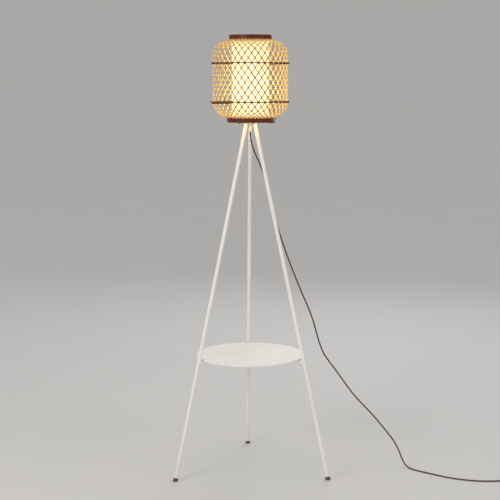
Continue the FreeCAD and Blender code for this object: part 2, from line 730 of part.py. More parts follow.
def make_cord():
    node(swept("cord_lead", CORD_ROUTE, "Dim.cord_radius"), "cord_lead")
    node(swept("cord_tail", CORD_TAIL_ROUTE, "Dim.cord_radius"), "cord_tail")
    node(swept("cord_end", CORD_END_ROUTE, "Dim.cord_radius"), "cord_end")
    centre = V(size("Dim.coil_centre_x"), size("Dim.coil_centre_y"), 0)
    bundle = "4.1 * Dim.cord_radius"
    inner, outer = f"Dim.coil_mid_radius - {bundle} / 2", f"Dim.coil_mid_radius + {bundle} / 2"
    low, high, soft = "Dim.coil_bottom_level", "Dim.coil_bottom_level + 4.05 * Dim.cord_radius", "2"
    outline = [
        (f"{inner} + {soft}", low), (f"{outer} - {soft}", low, soft), (outer, f"{low} + {soft}"),
        (outer, f"{high} - {soft}", soft), (f"{outer} - {soft}", high), (f"{inner} + {soft}", high, soft),
        (inner, f"{high} - {soft}"), (inner, f"{low} + {soft}", soft),
    ]
    node(revolved(outline, "CordCoil", centre), "cord_coil")
    room, tie, width = 0.9, size("Dim.tie_thickness"), size("Dim.tie_width")
    across = size(bundle) + 2 * room - 0.4
    tall = size(f"{high} - {low}") + 0.2
    hole_corner = centre + V(size(inner) - room, -width / 2 - 1, size(low) - 0.1)
    band_corner = hole_corner - V(tie, -1, tie - 0.05)
    hole = block(f"{across}", f"{width + 2}", f"{tall}", hole_corner)
    band = block(f"{across + 2 * tie}", f"{width}", f"{tall + 2 * tie - 0.2}", band_corner)
    node(cut(band, hole), "cord_tie")


def make_foot_switch():
    """A push switch in a two-part case: the button rises and falls in a round hole in the cover."""
    length, width, wall = "Dim.switch_length", "Dim.switch_width", "Dim.switch_wall"
    low, split, top = "Dim.switch_base_level", "Dim.switch_split_level", "Dim.switch_top_level"
    middle = V(size(f"Dim.switch_inlet_x + {length} / 2"), size("Dim.switch_y"), 0)
    inside = (f"{length} - 2 * {wall}", f"{width} - 2 * {wall}")
    base = rounded_block("SwitchBase", length, width, f"{split} - {low}", 4,
                         FreeCAD.Placement(middle + UP * size(low), FreeCAD.Rotation()),
                         (*inside, f"{split} - {low} - {wall}"), up=False)
    cover = rounded_block("SwitchCover", length, width, f"{top} - {split}", 4,
                          FreeCAD.Placement(middle + UP * size(split), FreeCAD.Rotation()),
                          (*inside, f"{top} - {split} - {wall}"), up=True)
    way_start = middle - V(size(length) / 2 + 2, 0, 0) + UP * size("Dim.switch_cord_level")
    cord_way = cylinder("Dim.cord_radius", f"{length} + 4", way_start, V(1, 0, 0))
    node(cut(base, cord_way), "switch_base")
    button_hole = cylinder("Dim.button_radius + 0.3", "8", middle, level=f"{top} - 4")
    node(cut(cover, cord_way, button_hole), "switch_cover")
    push, skirt, seat = "Dim.button_radius", "Dim.button_skirt_level", "Dim.switch_spring_radius + 1"
    high = "Dim.button_top_level"
    cap = [
        ("0", f"{skirt} + 1.6"), (seat, f"{skirt} + 1.6"), (seat, skirt), (f"{push} + 1.4", skirt),
        (f"{push} + 1.4", f"{skirt} + 4"), (push, f"{skirt} + 4"), (push, f"{high} - 1.5"),
        (f"{push} - 1.5", f"{high} - 0.4"), ("0", high),
    ]
    node(revolved(cap, "SwitchButton", middle), "switch_button")
    radius, turns, rise = size("Dim.switch_spring_radius"), 4, size("Dim.switch_spring_height")
    helix = Part.makeHelix(rise / turns, rise, radius)
    wire = Part.Circle(V(radius, 0, 0), V(0, 1, 0), size("Dim.switch_spring_wire"))
    coil = Part.Wire(helix.Edges).makePipeShell([Part.Wire([wire.toShape()])], True, True)
    spring = doc.addObject("Part::Feature", "Spring")
    spring.Shape = coil
    spring.Placement = FreeCAD.Placement(middle + UP * size("Dim.switch_spring_bottom"), FreeCAD.Rotation())
    node(spring, "switch_spring")
    on_base = size(low) + size(wall)
    strip = block("14", "6", "0.6", middle + V(10, -3, on_base))
    finger = block("0.6", "6", "4", middle + V(14, -3, on_base))
    node(fuse(strip, finger), "switch_contact")


def make_plug():
    """A flat two-pin plug that lies on the floor, pins towards -X."""
    height = size("Dim.plug_thickness") / 2 + 0.7
    back = V(size("Dim.plug_sleeve_end_x - Dim.plug_sleeve_length"), size("Dim.plug_y"), height)
    sleeve = bind(doc.addObject("Part::Cone", "Sleeve"), Radius1="5.6", Radius2="Dim.cord_radius + 0.9",
                  Height="Dim.plug_sleeve_length")
    sleeve.Placement = FreeCAD.Placement(back, FreeCAD.Rotation(UP, V(1, 0, 0)))
    node(sleeve, "plug_sleeve")
    facing = FreeCAD.Rotation(UP, V(-1, 0, 0))
    body = rounded_block("PlugBody", "Dim.plug_thickness", "Dim.plug_width", "Dim.plug_depth", 5,
                         FreeCAD.Placement(back, facing))
    node(body, "plug_body")
    face = back - V(size("Dim.plug_depth"), 0, 0)
    pins = [
        cylinder("Dim.plug_pin_radius", "Dim.plug_pin_length",
                 face + V(0, side * size("Dim.plug_pin_spacing") / 2, 0), V(-1, 0, 0))
        for side in (-1, 1)
    ]
    node(group(*pins), "plug_pins")


for side, azimuth in LEG_AZIMUTHS.items():
    make_leg(side, azimuth)
    make_foot(side, azimuth)
    make_lug(side, azimuth)
make_head()
node(group(*[set_screw(azimuth) for azimuth in LEG_AZIMUTHS.values()]), "leg_set_screws")
make_shelf()
make_shelf_screws()
make_stem()
make_lampholder()
make_bulb()
make_wire_carrier()
make_shade()
make_cord()
make_foot_switch()
make_plug()
doc.recompute()

for obj in doc.Objects:
    if {"Invalid", "Error"} & set(obj.State):
        raise RuntimeError(f"{obj.Label} ({obj.Name}) did not compute: {obj.State}")
os.makedirs("parts", exist_ok=True)
for obj in nodes:
    shape = obj.Shape
    if shape.isNull() or not shape.isValid() or not shape.Solids:
        raise RuntimeError(f"{obj.Label} has no valid solid")
    shape.exportStep(f"parts/{obj.Label}.step")
print(len(nodes), "nodes written")
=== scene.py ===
import json
import math
import random

import bpy
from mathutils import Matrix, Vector


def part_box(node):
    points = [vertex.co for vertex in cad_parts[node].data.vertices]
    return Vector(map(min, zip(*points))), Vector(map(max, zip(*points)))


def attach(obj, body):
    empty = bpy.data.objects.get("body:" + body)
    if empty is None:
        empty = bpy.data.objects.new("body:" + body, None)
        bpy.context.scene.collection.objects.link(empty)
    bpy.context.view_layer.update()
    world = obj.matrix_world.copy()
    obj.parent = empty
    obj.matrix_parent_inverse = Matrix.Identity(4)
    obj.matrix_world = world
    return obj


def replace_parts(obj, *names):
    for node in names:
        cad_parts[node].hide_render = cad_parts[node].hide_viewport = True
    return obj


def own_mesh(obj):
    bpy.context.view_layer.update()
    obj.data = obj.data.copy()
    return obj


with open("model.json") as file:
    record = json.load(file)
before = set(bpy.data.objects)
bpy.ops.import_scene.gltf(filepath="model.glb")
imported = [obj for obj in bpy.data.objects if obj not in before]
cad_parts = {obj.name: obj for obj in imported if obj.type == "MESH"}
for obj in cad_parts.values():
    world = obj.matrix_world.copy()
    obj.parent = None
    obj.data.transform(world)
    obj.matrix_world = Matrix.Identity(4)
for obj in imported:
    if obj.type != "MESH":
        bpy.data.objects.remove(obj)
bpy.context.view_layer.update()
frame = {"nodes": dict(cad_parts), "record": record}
TAU = 2 * math.pi
UP = Vector((0, 0, 1))


def middle_of(node):
    low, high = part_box(node)
    return (low + high) / 2


def outer_radius(node):
    low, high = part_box(node)
    return (high.x - low.x) / 2


# Camera and light -----------------------------------------------------------------------------------

CAMERA_PLACE = (-0.1392, -4.3328, 1.350)
CAMERA_TURN = math.radians(1.823)
CAMERA_PITCH = math.radians(7.611)
LENS, SENSOR_WIDTH = 91.6, 36
FAR_CLIP = 200
STUDIO_LIGHTS = [  # name, place, target, size in metres, watts, colour
    ("key_light", (-2.6, -2.9, 2.1), (0, 0, 0.8), 2.0, 60, (1, 0.97, 0.93)),
    ("fill_light", (2.9, -2.2, 1.8), (0, 0, 0.8), 2.4, 24, (1, 1, 1)),
    ("back_light", (0.8, 3.0, 2.6), (0, 0, 0.9), 2.0, 22, (1, 1, 1)),
]
HORIZON_LIGHT, OVERHEAD_LIGHT = 0.404, 0.72
HORIZON_ENDS, OVERHEAD_STARTS = 0.08, 0.9  # heights of a line of sight of length 1
DOME_TINT = (1.0, 0.975, 0.95, 1)


def make_camera():
    data = bpy.data.cameras.new("camera")
    data.lens, data.sensor_width, data.clip_end = LENS, SENSOR_WIDTH, FAR_CLIP
    camera = bpy.data.objects.new("camera", data)
    camera.location = CAMERA_PLACE
    camera.rotation_euler = (math.pi / 2 - CAMERA_PITCH, 0, -CAMERA_TURN)
    bpy.context.scene.collection.objects.link(camera)
    bpy.context.scene.camera = camera


def studio_light(name, place, target, size, power, colour):
    data = bpy.data.lights.new(name, "AREA")
    data.shape = "DISK"
    data.size, data.energy, data.color = size, power, colour
    light = bpy.data.objects.new(name, data)
    light.location = place
    light.rotation_euler = (Vector(target) - Vector(place)).to_track_quat("-Z", "Y").to_euler()
    bpy.context.scene.collection.objects.link(light)


def studio_dome():
    """A soft dome: even and as bright as the far floor near the horizon, brighter overhead."""
    world = bpy.data.worlds.new("studio")
    world.use_nodes = True
    nodes, links = world.node_tree.nodes, world.node_tree.links
    place = nodes.new("ShaderNodeTexCoord")
    parts = nodes.new("ShaderNodeSeparateXYZ")
    rise = nodes.new("ShaderNodeMapRange")
    rise.interpolation_type = "SMOOTHSTEP"
    for socket, value in (("From Min", HORIZON_ENDS), ("From Max", OVERHEAD_STARTS),
                          ("To Min", HORIZON_LIGHT), ("To Max", OVERHEAD_LIGHT)):
        rise.inputs[socket].default_value = value
    links.new(place.outputs["Generated"], parts.inputs["Vector"])
    links.new(parts.outputs["Z"], rise.inputs["Value"])
    links.new(rise.outputs["Result"], nodes["Background"].inputs["Strength"])
    nodes["Background"].inputs["Color"].default_value = DOME_TINT
    bpy.context.scene.world = world


make_camera()
for settings in STUDIO_LIGHTS:
    studio_light(*settings)
studio_dome()
bpy.context.scene.view_settings.view_transform = "Standard"


# Materials ------------------------------------------------------------------------------------------

WHITE_PAINT = (0.86, 0.84, 0.81)
FLOOR_DUST = (0.42, 0.38, 0.33)
CLOTH_PITCH = 0.0009  # from one of the diffuser cloth's threads to the next
STRAP_RIB = 0.0008
DRUM_RADIUS = 0.064
MOULDED_EDGE = 0.0007


class Look:
    """A material built up node by node. Its places are in metres, on the piece itself."""

    def __init__(self, name, colour=(0.8, 0.8, 0.8), **sockets):
        self.material = bpy.data.materials.new(name)
        self.material.use_nodes = True
        self.tree = self.material.node_tree
        self.shader = self.tree.nodes["Principled BSDF"]
        self.shader.inputs["Base Color"].default_value = (*colour, 1)
        for socket, value in sockets.items():
            self.shader.inputs[socket.replace("_", " ")].default_value = value

    def add(self, kind, values=(), **settings):
        made = self.tree.nodes.new(kind)
        for name, value in settings.items():
            setattr(made, name, value)
        for socket, value in dict(values).items():
            if isinstance(value, bpy.types.NodeSocket):
                self.tree.links.new(value, made.inputs[socket])
            else:
                made.inputs[socket].default_value = value
        return made

    def place(self):
        return self.add("ShaderNodeTexCoord").outputs["Object"]

    def parts_of(self, vector):
        return self.add("ShaderNodeSeparateXYZ", {"Vector": vector}).outputs

    def vector(self, x, y, z):
        return self.add("ShaderNodeCombineXYZ", {"X": x, "Y": y, "Z": z}).outputs["Vector"]

    def stretched(self, vector, scales):
        made = self.add("ShaderNodeVectorMath", {0: vector, 1: scales}, operation="MULTIPLY")
        return made.outputs["Vector"]

    def sum(self, operation, a, b=0.0):
        return self.add("ShaderNodeMath", {0: a, 1: b}, operation=operation).outputs["Value"]

    def noise(self, vector, scale, detail=3.0, roughness=0.55):
        """Noise with this many features in a metre."""
        made = self.add("ShaderNodeTexNoise",
                        {"Vector": vector, "Scale": scale, "Detail": detail, "Roughness": roughness})
        return made.outputs["Fac"]

    def between(self, value, low, high, to_low=0.0, to_high=1.0):
        """value's range from low to high, mapped to another range and held at its ends."""
        made = self.add("ShaderNodeMapRange", {"Value": value, "From Min": low, "From Max": high,
                                               "To Min": to_low, "To Max": to_high}, clamp=True)
        return made.outputs["Result"]

    def blend(self, share, first, second):
        """A colour between two, each a colour or a socket."""
        made = self.add("ShaderNodeMix", {"Factor": share}, data_type="RGBA")
        for socket, colour in ((made.inputs[6], first), (made.inputs[7], second)):
            if isinstance(colour, bpy.types.NodeSocket):
                self.tree.links.new(colour, socket)
            else:
                socket.default_value = (*colour, 1)
        return made.outputs[2]

    def bump(self, height, distance, strength=1.0):
        """Relief from a height of 0 to 1, distance metres deep."""
        made = self.add("ShaderNodeBump", {"Height": height, "Distance": distance, "Strength": strength})
        self.tree.links.new(made.outputs["Normal"], self.shader.inputs["Normal"])

    def use(self, socket, value):
        self.tree.links.new(value, self.shader.inputs[socket])


def painted_steel():
    """Powder coat: faintly clouded and pebbled, and dusty near the floor."""
    look = Look("white_powder_coat", Coat_Weight=0.15, Coat_Roughness=0.3)
    place = look.place()
    cloud = look.between(look.noise(place, 5, 4), 0.35, 0.65)
    near_floor = look.between(look.parts_of(place)["Z"], 0.0, 0.14, 0.35, 0.0)
    dust = look.sum("MULTIPLY", near_floor, look.noise(place, 60, 4))
    colour = look.blend(cloud, (0.80, 0.775, 0.74), WHITE_PAINT)
    look.use("Base Color", look.blend(dust, colour, FLOOR_DUST))
    look.use("Roughness", look.between(look.noise(place, 35, 3), 0.3, 0.7, 0.33, 0.45))
    look.bump(look.noise(place, 1100, 2), 0.00006, 0.5)
    return look.material


def painted_board():
    """Brushed paint with a little of the wood's grain standing through it."""
    look = Look("white_painted_board", Coat_Weight=0.1, Coat_Roughness=0.25)
    place = look.place()
    grain = look.noise(look.stretched(place, (9, 160, 160)), 1, 4, 0.6)
    cloud = look.between(look.noise(place, 7, 4), 0.3, 0.7)
    colour = look.blend(cloud, (0.81, 0.785, 0.75), WHITE_PAINT)
    in_grain = look.between(grain, 0.55, 0.8, 0.0, 0.25)
    look.use("Base Color", look.blend(in_grain, colour, (0.66, 0.62, 0.56)))
    look.use("Roughness", look.between(look.noise(place, 45, 4), 0.3, 0.7, 0.34, 0.52))
    look.bump(look.sum("ADD", grain, look.sum("MULTIPLY", look.noise(place, 900, 2), 0.4)), 0.00012, 0.6)
    return look.material


def rubber():
    """Brown rubber, scuffed paler where it meets the floor."""
    look = Look("dark_rubber", IOR=1.45)
    place = look.place()
    worn = look.between(look.parts_of(place)["Z"], 0.0, 0.006, 0.5, 0.0)
    colour = look.blend(look.noise(place, 180, 4), (0.055, 0.036, 0.028), (0.12, 0.08, 0.06))
    look.use("Base Color", look.blend(worn, colour, (0.2, 0.17, 0.15)))
    look.use("Roughness", look.between(look.noise(place, 300, 3), 0.3, 0.7, 0.62, 0.85))
    look.bump(look.noise(place, 1500, 2), 0.0001, 0.5)
    return look.material


def metal(name, bright, dull, smooth, rough):
    """Bare metal, bright with dull stains and faint level marks."""
    look = Look(name, Metallic=1.0)
    place = look.place()
    stain = look.between(look.noise(place, 90, 5, 0.65), 0.4, 0.7)
    look.use("Base Color", look.blend(stain, bright, dull))
    look.use("Roughness", look.between(look.noise(place, 260, 4), 0.3, 0.7, smooth, rough))
    look.bump(look.noise(look.stretched(place, (1, 1, 5)), 900, 2), 0.00003, 0.4)
    return look.material


def plastic(name, colour, second, smooth, rough, grain=1400, depth=0.00005, coat=0.0):
    """Moulded plastic in two close colours, with a fine moulded grain."""
    look = Look(name, Coat_Weight=coat, Coat_Roughness=0.12, IOR=1.48)
    place = look.place()
    look.use("Base Color", look.blend(look.between(look.noise(place, 30, 4), 0.3, 0.7), colour, second))
    look.use("Roughness", look.between(look.noise(place, 70, 4), 0.3, 0.7, smooth, rough))
    look.bump(look.noise(place, grain, 2), depth, 0.5)
    return look.material


def glazed():
    """Glazed porcelain, slightly uneven under its gloss."""
    look = Look("glazed_porcelain", Coat_Weight=1.0, Coat_Roughness=0.05)
    place = look.place()
    look.use("Base Color", look.blend(look.noise(place, 220, 5), (0.82, 0.8, 0.76), (0.9, 0.89, 0.86)))
    look.use("Roughness", look.between(look.noise(place, 120, 3), 0.3, 0.7, 0.15, 0.3))
    look.bump(look.noise(place, 300, 2), 0.00008, 0.4)
    return look.material


def lamp_glass():
    """Thin clear glass with a faint waviness."""
    look = Look("clear_lamp_glass", (1.0, 0.95, 0.86), Alpha=0.22, IOR=1.5, Specular_IOR_Level=0.8)
    place = look.place()
    look.use("Roughness", look.between(look.noise(place, 60, 3), 0.3, 0.7, 0.02, 0.09))
    look.bump(look.noise(place, 45, 2), 0.0002, 0.3)
    return look.material


def filament():
    """Glowing filament, brighter in places along it."""
    look = Look("lit_filament", (1.0, 0.75, 0.36), Roughness=0.6, Emission_Strength=9.0)
    place = look.place()
    grains = look.between(look.noise(place, 1400, 2), 0.35, 0.65)
    look.use("Emission Color", look.blend(grains, (1.0, 0.62, 0.24), (1.0, 0.84, 0.5)))
    look.bump(look.noise(place, 1800, 2), 0.0002, 0.8)
    return look.material


def round_the_axis(look):
    """Angle round the lamp's axis, distance from it, and height."""
    parts = look.parts_of(look.place())
    angle = look.sum("ARCTAN2", parts["Y"], parts["X"])
    squares = look.sum("ADD", look.sum("POWER", parts["X"], 2.0), look.sum("POWER", parts["Y"], 2.0))
    return angle, look.sum("SQRT", squares), parts["Z"]


def stained_bamboo():
    """Bent strips: the fibres run round the lamp, and the cut edges are lighter than the stained faces."""
    look = Look("stained_bamboo", Coat_Weight=0.06, Coat_Roughness=0.25, Specular_IOR_Level=0.2)
    angle, radius, height = round_the_axis(look)
    fibre_place = look.vector(look.sum("MULTIPLY", angle, 3.5), look.sum("MULTIPLY", radius, 1500.0),
                              look.sum("MULTIPLY", height, 1500.0))
    fibres = look.noise(fibre_place, 1.0, 4, 0.65)
    patch_place = look.vector(look.sum("MULTIPLY", angle, 4.0), 0.0, look.sum("MULTIPLY", height, 60.0))
    patches = look.noise(patch_place, 1.0, 3)
    colour = look.blend(look.between(patches, 0.35, 0.7), (0.085, 0.012, 0.003), (0.17, 0.029, 0.007))
    colour = look.blend(look.between(fibres, 0.52, 0.78, 0.0, 0.6), colour, (0.28, 0.06, 0.015))
    facing = look.add("ShaderNodeNewGeometry").outputs["Normal"]
    on_edge = look.between(look.sum("ABSOLUTE", look.parts_of(facing)["Z"]), 0.5, 0.95, 0.0, 0.6)
    look.use("Base Color", look.blend(on_edge, colour, (0.34, 0.14, 0.055)))
    look.use("Roughness", look.between(fibres, 0.3, 0.75, 0.3, 0.5))
    look.bump(fibres, 0.00025, 0.7)
    return look.material


def split_bamboo():
    """Woven slivers: fibres along each sliver and its own tone. Painted glow stands for the lamp's light on
    their inner faces and coming through to the outer ones, and painted shade darkens the outer faces where
    two slivers cross."""
    look = Look("split_bamboo", Sheen_Weight=0.05, Specular_IOR_Level=0.35)
    uv = look.add("ShaderNodeUVMap", uv_map="sliver").outputs["UV"]
    tone = look.add("ShaderNodeAttribute", attribute_name="tone").outputs["Fac"]
    crossing = look.add("ShaderNodeAttribute", attribute_name="crossing").outputs["Fac"]
    inward = look.add("ShaderNodeAttribute", attribute_name="inward").outputs["Fac"]
    fibres = look.noise(look.stretched(uv, (3600.0, 45.0, 1.0)), 1.0, 4, 0.65)
    bands = look.noise(look.stretched(uv, (60.0, 14.0, 1.0)), 1.0, 2)
    straw = look.blend(tone, (0.30, 0.165, 0.05), (0.50, 0.31, 0.10))
    straw = look.blend(look.between(bands, 0.5, 0.75, 0.0, 0.55), straw, (0.24, 0.12, 0.035))
    straw = look.blend(look.between(fibres, 0.5, 0.8, 0.0, 0.6), straw, (0.18, 0.09, 0.026))
    # Painted shade: the outer faces darken where two slivers cross.
    wave = look.sum("ABSOLUTE", look.sum("COSINE", look.sum("MULTIPLY", crossing, math.pi)))
    doubled = look.sum("POWER", wave, 14.0)
    painted_crossing_shade = look.sum("MULTIPLY", doubled, look.sum("SUBTRACT", 1.0, inward))
    look.use("Base Color", look.blend(look.sum("MULTIPLY", painted_crossing_shade, 0.8), straw, (0.06, 0.028, 0.01)))
    look.use("Roughness", look.between(fibres, 0.3, 0.7, 0.42, 0.6))
    # Painted glow: light through the outer faces, less where two slivers cross, and painted lamplight on the
    # inner faces, brightest level with the bulb.
    look.use("Emission Color", look.blend(tone, (1.0, 0.58, 0.13), (1.0, 0.70, 0.22)))
    painted_glow_through = look.between(painted_crossing_shade, 0.0, 0.7, 0.21, 0.0)
    from_bulb = look.sum("SUBTRACT", look.parts_of(look.place())["Z"], middle_of("bulb_glass").z)
    painted_inner_lamplight = look.between(look.sum("ABSOLUTE", from_bulb), 0.0, 0.15, 1.2, 0.65)
    look.use("Emission Strength", look.sum("ADD", painted_glow_through, look.sum("MULTIPLY", inward, painted_inner_lamplight)))
    look.bump(fibres, 0.0001, 0.6)
    return look.material


def stained_cane():
    """Bent cane: fibres along it and darker patches of stain."""
    look = Look("stained_cane", Coat_Weight=0.2, Coat_Roughness=0.3)
    angle, radius, height = round_the_axis(look)
    fibre_place = look.vector(look.sum("MULTIPLY", angle, 6.0), look.sum("MULTIPLY", radius, 2500.0),
                              look.sum("MULTIPLY", height, 2500.0))
    fibres = look.noise(fibre_place, 1.0, 4, 0.6)
    patches = look.noise(look.vector(look.sum("MULTIPLY", angle, 9.0), 0.0, 0.0), 1.0, 3)
    colour = look.blend(look.between(patches, 0.35, 0.65), (0.06, 0.022, 0.012), (0.16, 0.065, 0.025))
    paler = look.between(fibres, 0.5, 0.8, 0.0, 0.6)
    look.use("Base Color", look.blend(paler, colour, (0.26, 0.12, 0.05)))
    look.use("Roughness", look.between(fibres, 0.3, 0.7, 0.38, 0.6))
    look.bump(fibres, 0.00015, 0.6)
    return look.material


def lit_cloth():
    """The diffuser's cloth, its light from inside painted on as glow: brightest level with the bulb, and its
    inner face dimmer.
    """
    look = Look("lit_diffuser_cloth", Sheen_Weight=0.1)
    angle, _, height = round_the_axis(look)
    round_it = look.sum("SINE", look.sum("MULTIPLY", angle, DRUM_RADIUS * TAU / CLOTH_PITCH))
    up_it = look.sum("SINE", look.sum("MULTIPLY", height, TAU / CLOTH_PITCH))
    weave = look.sum("MULTIPLY", round_it, up_it)
    slub_place = look.vector(look.sum("MULTIPLY", angle, 18.0), 0.0, look.sum("MULTIPLY", height, 900.0))
    slubs = look.noise(slub_place, 1.0, 3)
    cloth = look.blend(look.between(slubs, 0.5, 0.8, 0.0, 0.4), (0.93, 0.9, 0.83), (0.82, 0.76, 0.64))
    look.use("Base Color", cloth)
    look.use("Roughness", look.between(weave, -1.0, 1.0, 0.75, 0.95))
    from_bulb = look.sum("ABSOLUTE", look.sum("SUBTRACT", height, middle_of("bulb_glass").z))
    level = look.between(from_bulb, 0.02, 0.17, 1.0, 0.0)
    threads = look.between(weave, -1.0, 1.0, 0.96, 1.0)
    darker = look.between(slubs, 0.5, 0.8, 1.0, 0.93)
    normal = look.parts_of(look.add("ShaderNodeNewGeometry").outputs["Normal"])
    place = look.parts_of(look.place())
    faces_out = look.sum("ADD", look.sum("MULTIPLY", normal["X"], place["X"]),
                         look.sum("MULTIPLY", normal["Y"], place["Y"]))
    outer = look.between(faces_out, -0.01, 0.01, 0.35, 1.0)
    # Painted glow: emission stands for the bulb's light coming through the cloth.
    glow = look.between(level, 0.0, 1.0, 0.52, 0.74)
    for share in (threads, darker, outer):
        glow = look.sum("MULTIPLY", glow, share)
    look.use("Emission Strength", glow)
    look.use("Emission Color", look.blend(level, (1.0, 0.72, 0.36), (1.0, 0.86, 0.52)))
    look.bump(weave, 0.00008, 0.5)
    return look.material


def flex():
    """The cord's brown jacket, dusty where it lies on the floor."""
    look = Look("dark_brown_flex", IOR=1.5, Coat_Weight=0.1, Coat_Roughness=0.2)
    place = look.place()
    near_floor = look.between(look.parts_of(place)["Z"], 0.0, 0.02, 0.25, 0.0)
    dust = look.sum("MULTIPLY", near_floor, look.noise(place, 140, 4))
    colour = look.blend(look.noise(place, 25, 4), (0.038, 0.019, 0.013), (0.085, 0.045, 0.03))
    look.use("Base Color", look.blend(dust, colour, (0.3, 0.26, 0.22)))
    look.use("Roughness", look.between(look.noise(place, 80, 4), 0.3, 0.7, 0.32, 0.5))
    look.bump(look.noise(place, 900, 3), 0.00005, 0.5)
    return look.material


def strap_cloth():
    """Ribbed black webbing, with painted shade in the grooves between the ribs."""
    look = Look("strap_cloth", Sheen_Weight=0.3, Sheen_Roughness=0.5)
    place = look.place()
    rib = look.sum("SINE", look.sum("MULTIPLY", look.parts_of(place)["Y"], TAU / STRAP_RIB))
    raised = look.between(rib, -1.0, 1.0)
    # Painted shade: the grooves between the ribs are darker than the rib tops.
    look.use("Base Color", look.blend(raised, (0.02, 0.017, 0.016), (0.06, 0.052, 0.048)))
    look.use("Roughness", look.between(look.noise(place, 500, 3), 0.3, 0.7, 0.7, 0.95))
    look.bump(rib, 0.0002, 0.7)
    return look.material


def thread(name, colour, second):
    """Thread in two close colours, rough at the scale of its strands."""
    look = Look(name)
    place = look.place()
    look.use("Base Color", look.blend(look.noise(place, 700, 3), colour, second))
    look.use("Roughness", look.between(look.noise(place, 900, 2), 0.3, 0.7, 0.6, 0.9))
    look.bump(look.noise(place, 2500, 2), 0.0001, 0.6)
    return look.material


WAXED_THREAD = thread("waxed_thread", (0.035, 0.014, 0.007), (0.1, 0.042, 0.02))
COTTON_THREAD = thread("cotton_thread", (0.62, 0.56, 0.46), (0.8, 0.75, 0.66))
DARK_WIRE = metal("dark_steel_wire", (0.20, 0.18, 0.165), (0.10, 0.085, 0.075), 0.32, 0.5)
SLOT_MATERIALS = {
    "white_steel": painted_steel(),
    "white_board": painted_board(),
    "rubber_foot": rubber(),
    "zinc_steel": metal("zinc_plated_steel", (0.66, 0.65, 0.62), (0.44, 0.43, 0.42), 0.24, 0.42),
    "brass": metal("brass", (0.80, 0.60, 0.30), (0.48, 0.33, 0.14), 0.2, 0.4),
    "white_plastic": plastic("white_plastic", (0.84, 0.81, 0.76), (0.89, 0.87, 0.83), 0.26, 0.38, coat=0.3),
    "porcelain": glazed(),
    "lead_insulation": plastic("wire_insulation", (0.36, 0.13, 0.06), (0.5, 0.22, 0.11), 0.35, 0.5),
    "bulb_glass": lamp_glass(),
    "bulb_filament": filament(),
    "bulb_cap": metal("aluminium_cap", (0.78, 0.78, 0.77), (0.58, 0.58, 0.57), 0.25, 0.4),
    "bulb_insulator": plastic("black_glass", (0.02, 0.02, 0.024), (0.045, 0.045, 0.055), 0.06, 0.16,
                              coat=0.6),
    "bamboo_weave": split_bamboo(),
    "dark_bamboo": stained_bamboo(),
    "cane": stained_cane(),
    "diffuser_cloth": lit_cloth(),
    "cord_pvc": flex(),
    "cord_tie": strap_cloth(),
    "switch_plastic": plastic("dark_moulded_plastic", (0.03, 0.022, 0.019), (0.05, 0.036, 0.03), 0.4, 0.55,
                              grain=700, depth=0.00012),
}
DARK_WIRE_NODES = ("wire_carrier", "diffuser_ring_top", "diffuser_ring_bottom")
MOULDED_NODES = ("switch_base", "switch_cover", "plug_body")


def finish_cad_nodes():
    """Each CAD node's material, and softened edges on the moulded cases."""
    for part in frame["record"]["subparts"]:
        data = frame["nodes"][part["node"]].data
        data.materials.clear()
        dark = part["node"] in DARK_WIRE_NODES
        data.materials.append(DARK_WIRE if dark else SLOT_MATERIALS[part["material_slot"]])
    for node in MOULDED_NODES:
        rounded = frame["nodes"][node].modifiers.new("rounded_edges", "BEVEL")
        rounded.width, rounded.segments, rounded.limit_method = MOULDED_EDGE, 3, "ANGLE"
        rounded.angle_limit = math.radians(50)


finish_cad_nodes()


# Making pieces --------------------------------------------------------------------------------------


def piece(name, points, faces, slot, body="shade", finish=None):
    """A mesh piece from points and faces, in the finish of a slot or its own, riding on a body."""
    data = bpy.data.meshes.new(name)
    data.from_pydata([tuple(p) for p in points], [], faces)
    data.validate()
    data.update()
    data.polygons.foreach_set("use_smooth", [True] * len(data.polygons))
    data.materials.append(finish or SLOT_MATERIALS[slot])
    made = bpy.data.objects.new(name, data)
    bpy.context.scene.collection.objects.link(made)
    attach(made, body)
    return made


def ring_of(centre, across, up, radii, count):
    """count points round a centre, at two radii along two directions."""
    angles = [TAU * i / count for i in range(count)]
    return [centre + across * (radii[0] * math.cos(a)) + up * (radii[1] * math.sin(a)) for a in angles]


def add_tube(points, faces, line, radius, sides=6, closed=True, normals=None):
    """Adds a round tube along a line of points. radius is a number or one for each point, and normals, where
    given, are directions that the tube's section is turned to at each point."""
    first = len(points)
    count = len(line)
    for i, at in enumerate(line):
        before = line[i - 1] if closed or i else line[i]
        after = line[(i + 1) % count] if closed or i < count - 1 else line[i]
        along = (after - before).normalized()
        side = normals[i] if normals else (UP if abs(along.z) < 0.9 else Vector((1, 0, 0)))
        across = along.cross(side).normalized()
        up = across.cross(along).normalized()
        wide = radius[i] if isinstance(radius, list) else radius
        points.extend(ring_of(at, across, up, (wide, wide), sides))
    for i in range(count if closed else count - 1):
        j = (i + 1) % count
        for k in range(sides):
            m = (k + 1) % sides
            here, ahead = first + i * sides, first + j * sides
            faces.append((here + k, here + m, ahead + m, ahead + k))
    if not closed:
        faces.append(tuple(first + k for k in range(sides)))
        last = first + (count - 1) * sides
        faces.append(tuple(last + k for k in reversed(range(sides))))


def outward(angle):
    return Vector((math.cos(angle), math.sin(angle), 0))


def eased(value, low, high):
    """0 up to low, 1 from high on, and a smooth rise between them."""
    share = min(1.0, max(0.0, (value - low) / (high - low)))
    return share * share * (3 - 2 * share)


# Rubber feet ----------------------------------------------------------------------------------------

FEET_CIRCLE = 0.300
FOOT_AZIMUTHS = {"left": 210, "right": 330, "back": 90}
FOOT_PROFILE = [  # distance along the leg from the floor, and radius
    (-0.003, 0.0082), (0.0028, 0.0082), (0.0034, 0.0079), (0.0040, 0.0079),
    (0.0046, 0.0081), (0.0104, 0.0075), (0.0112, 0.0072), (0.0113, 0.00655),
]


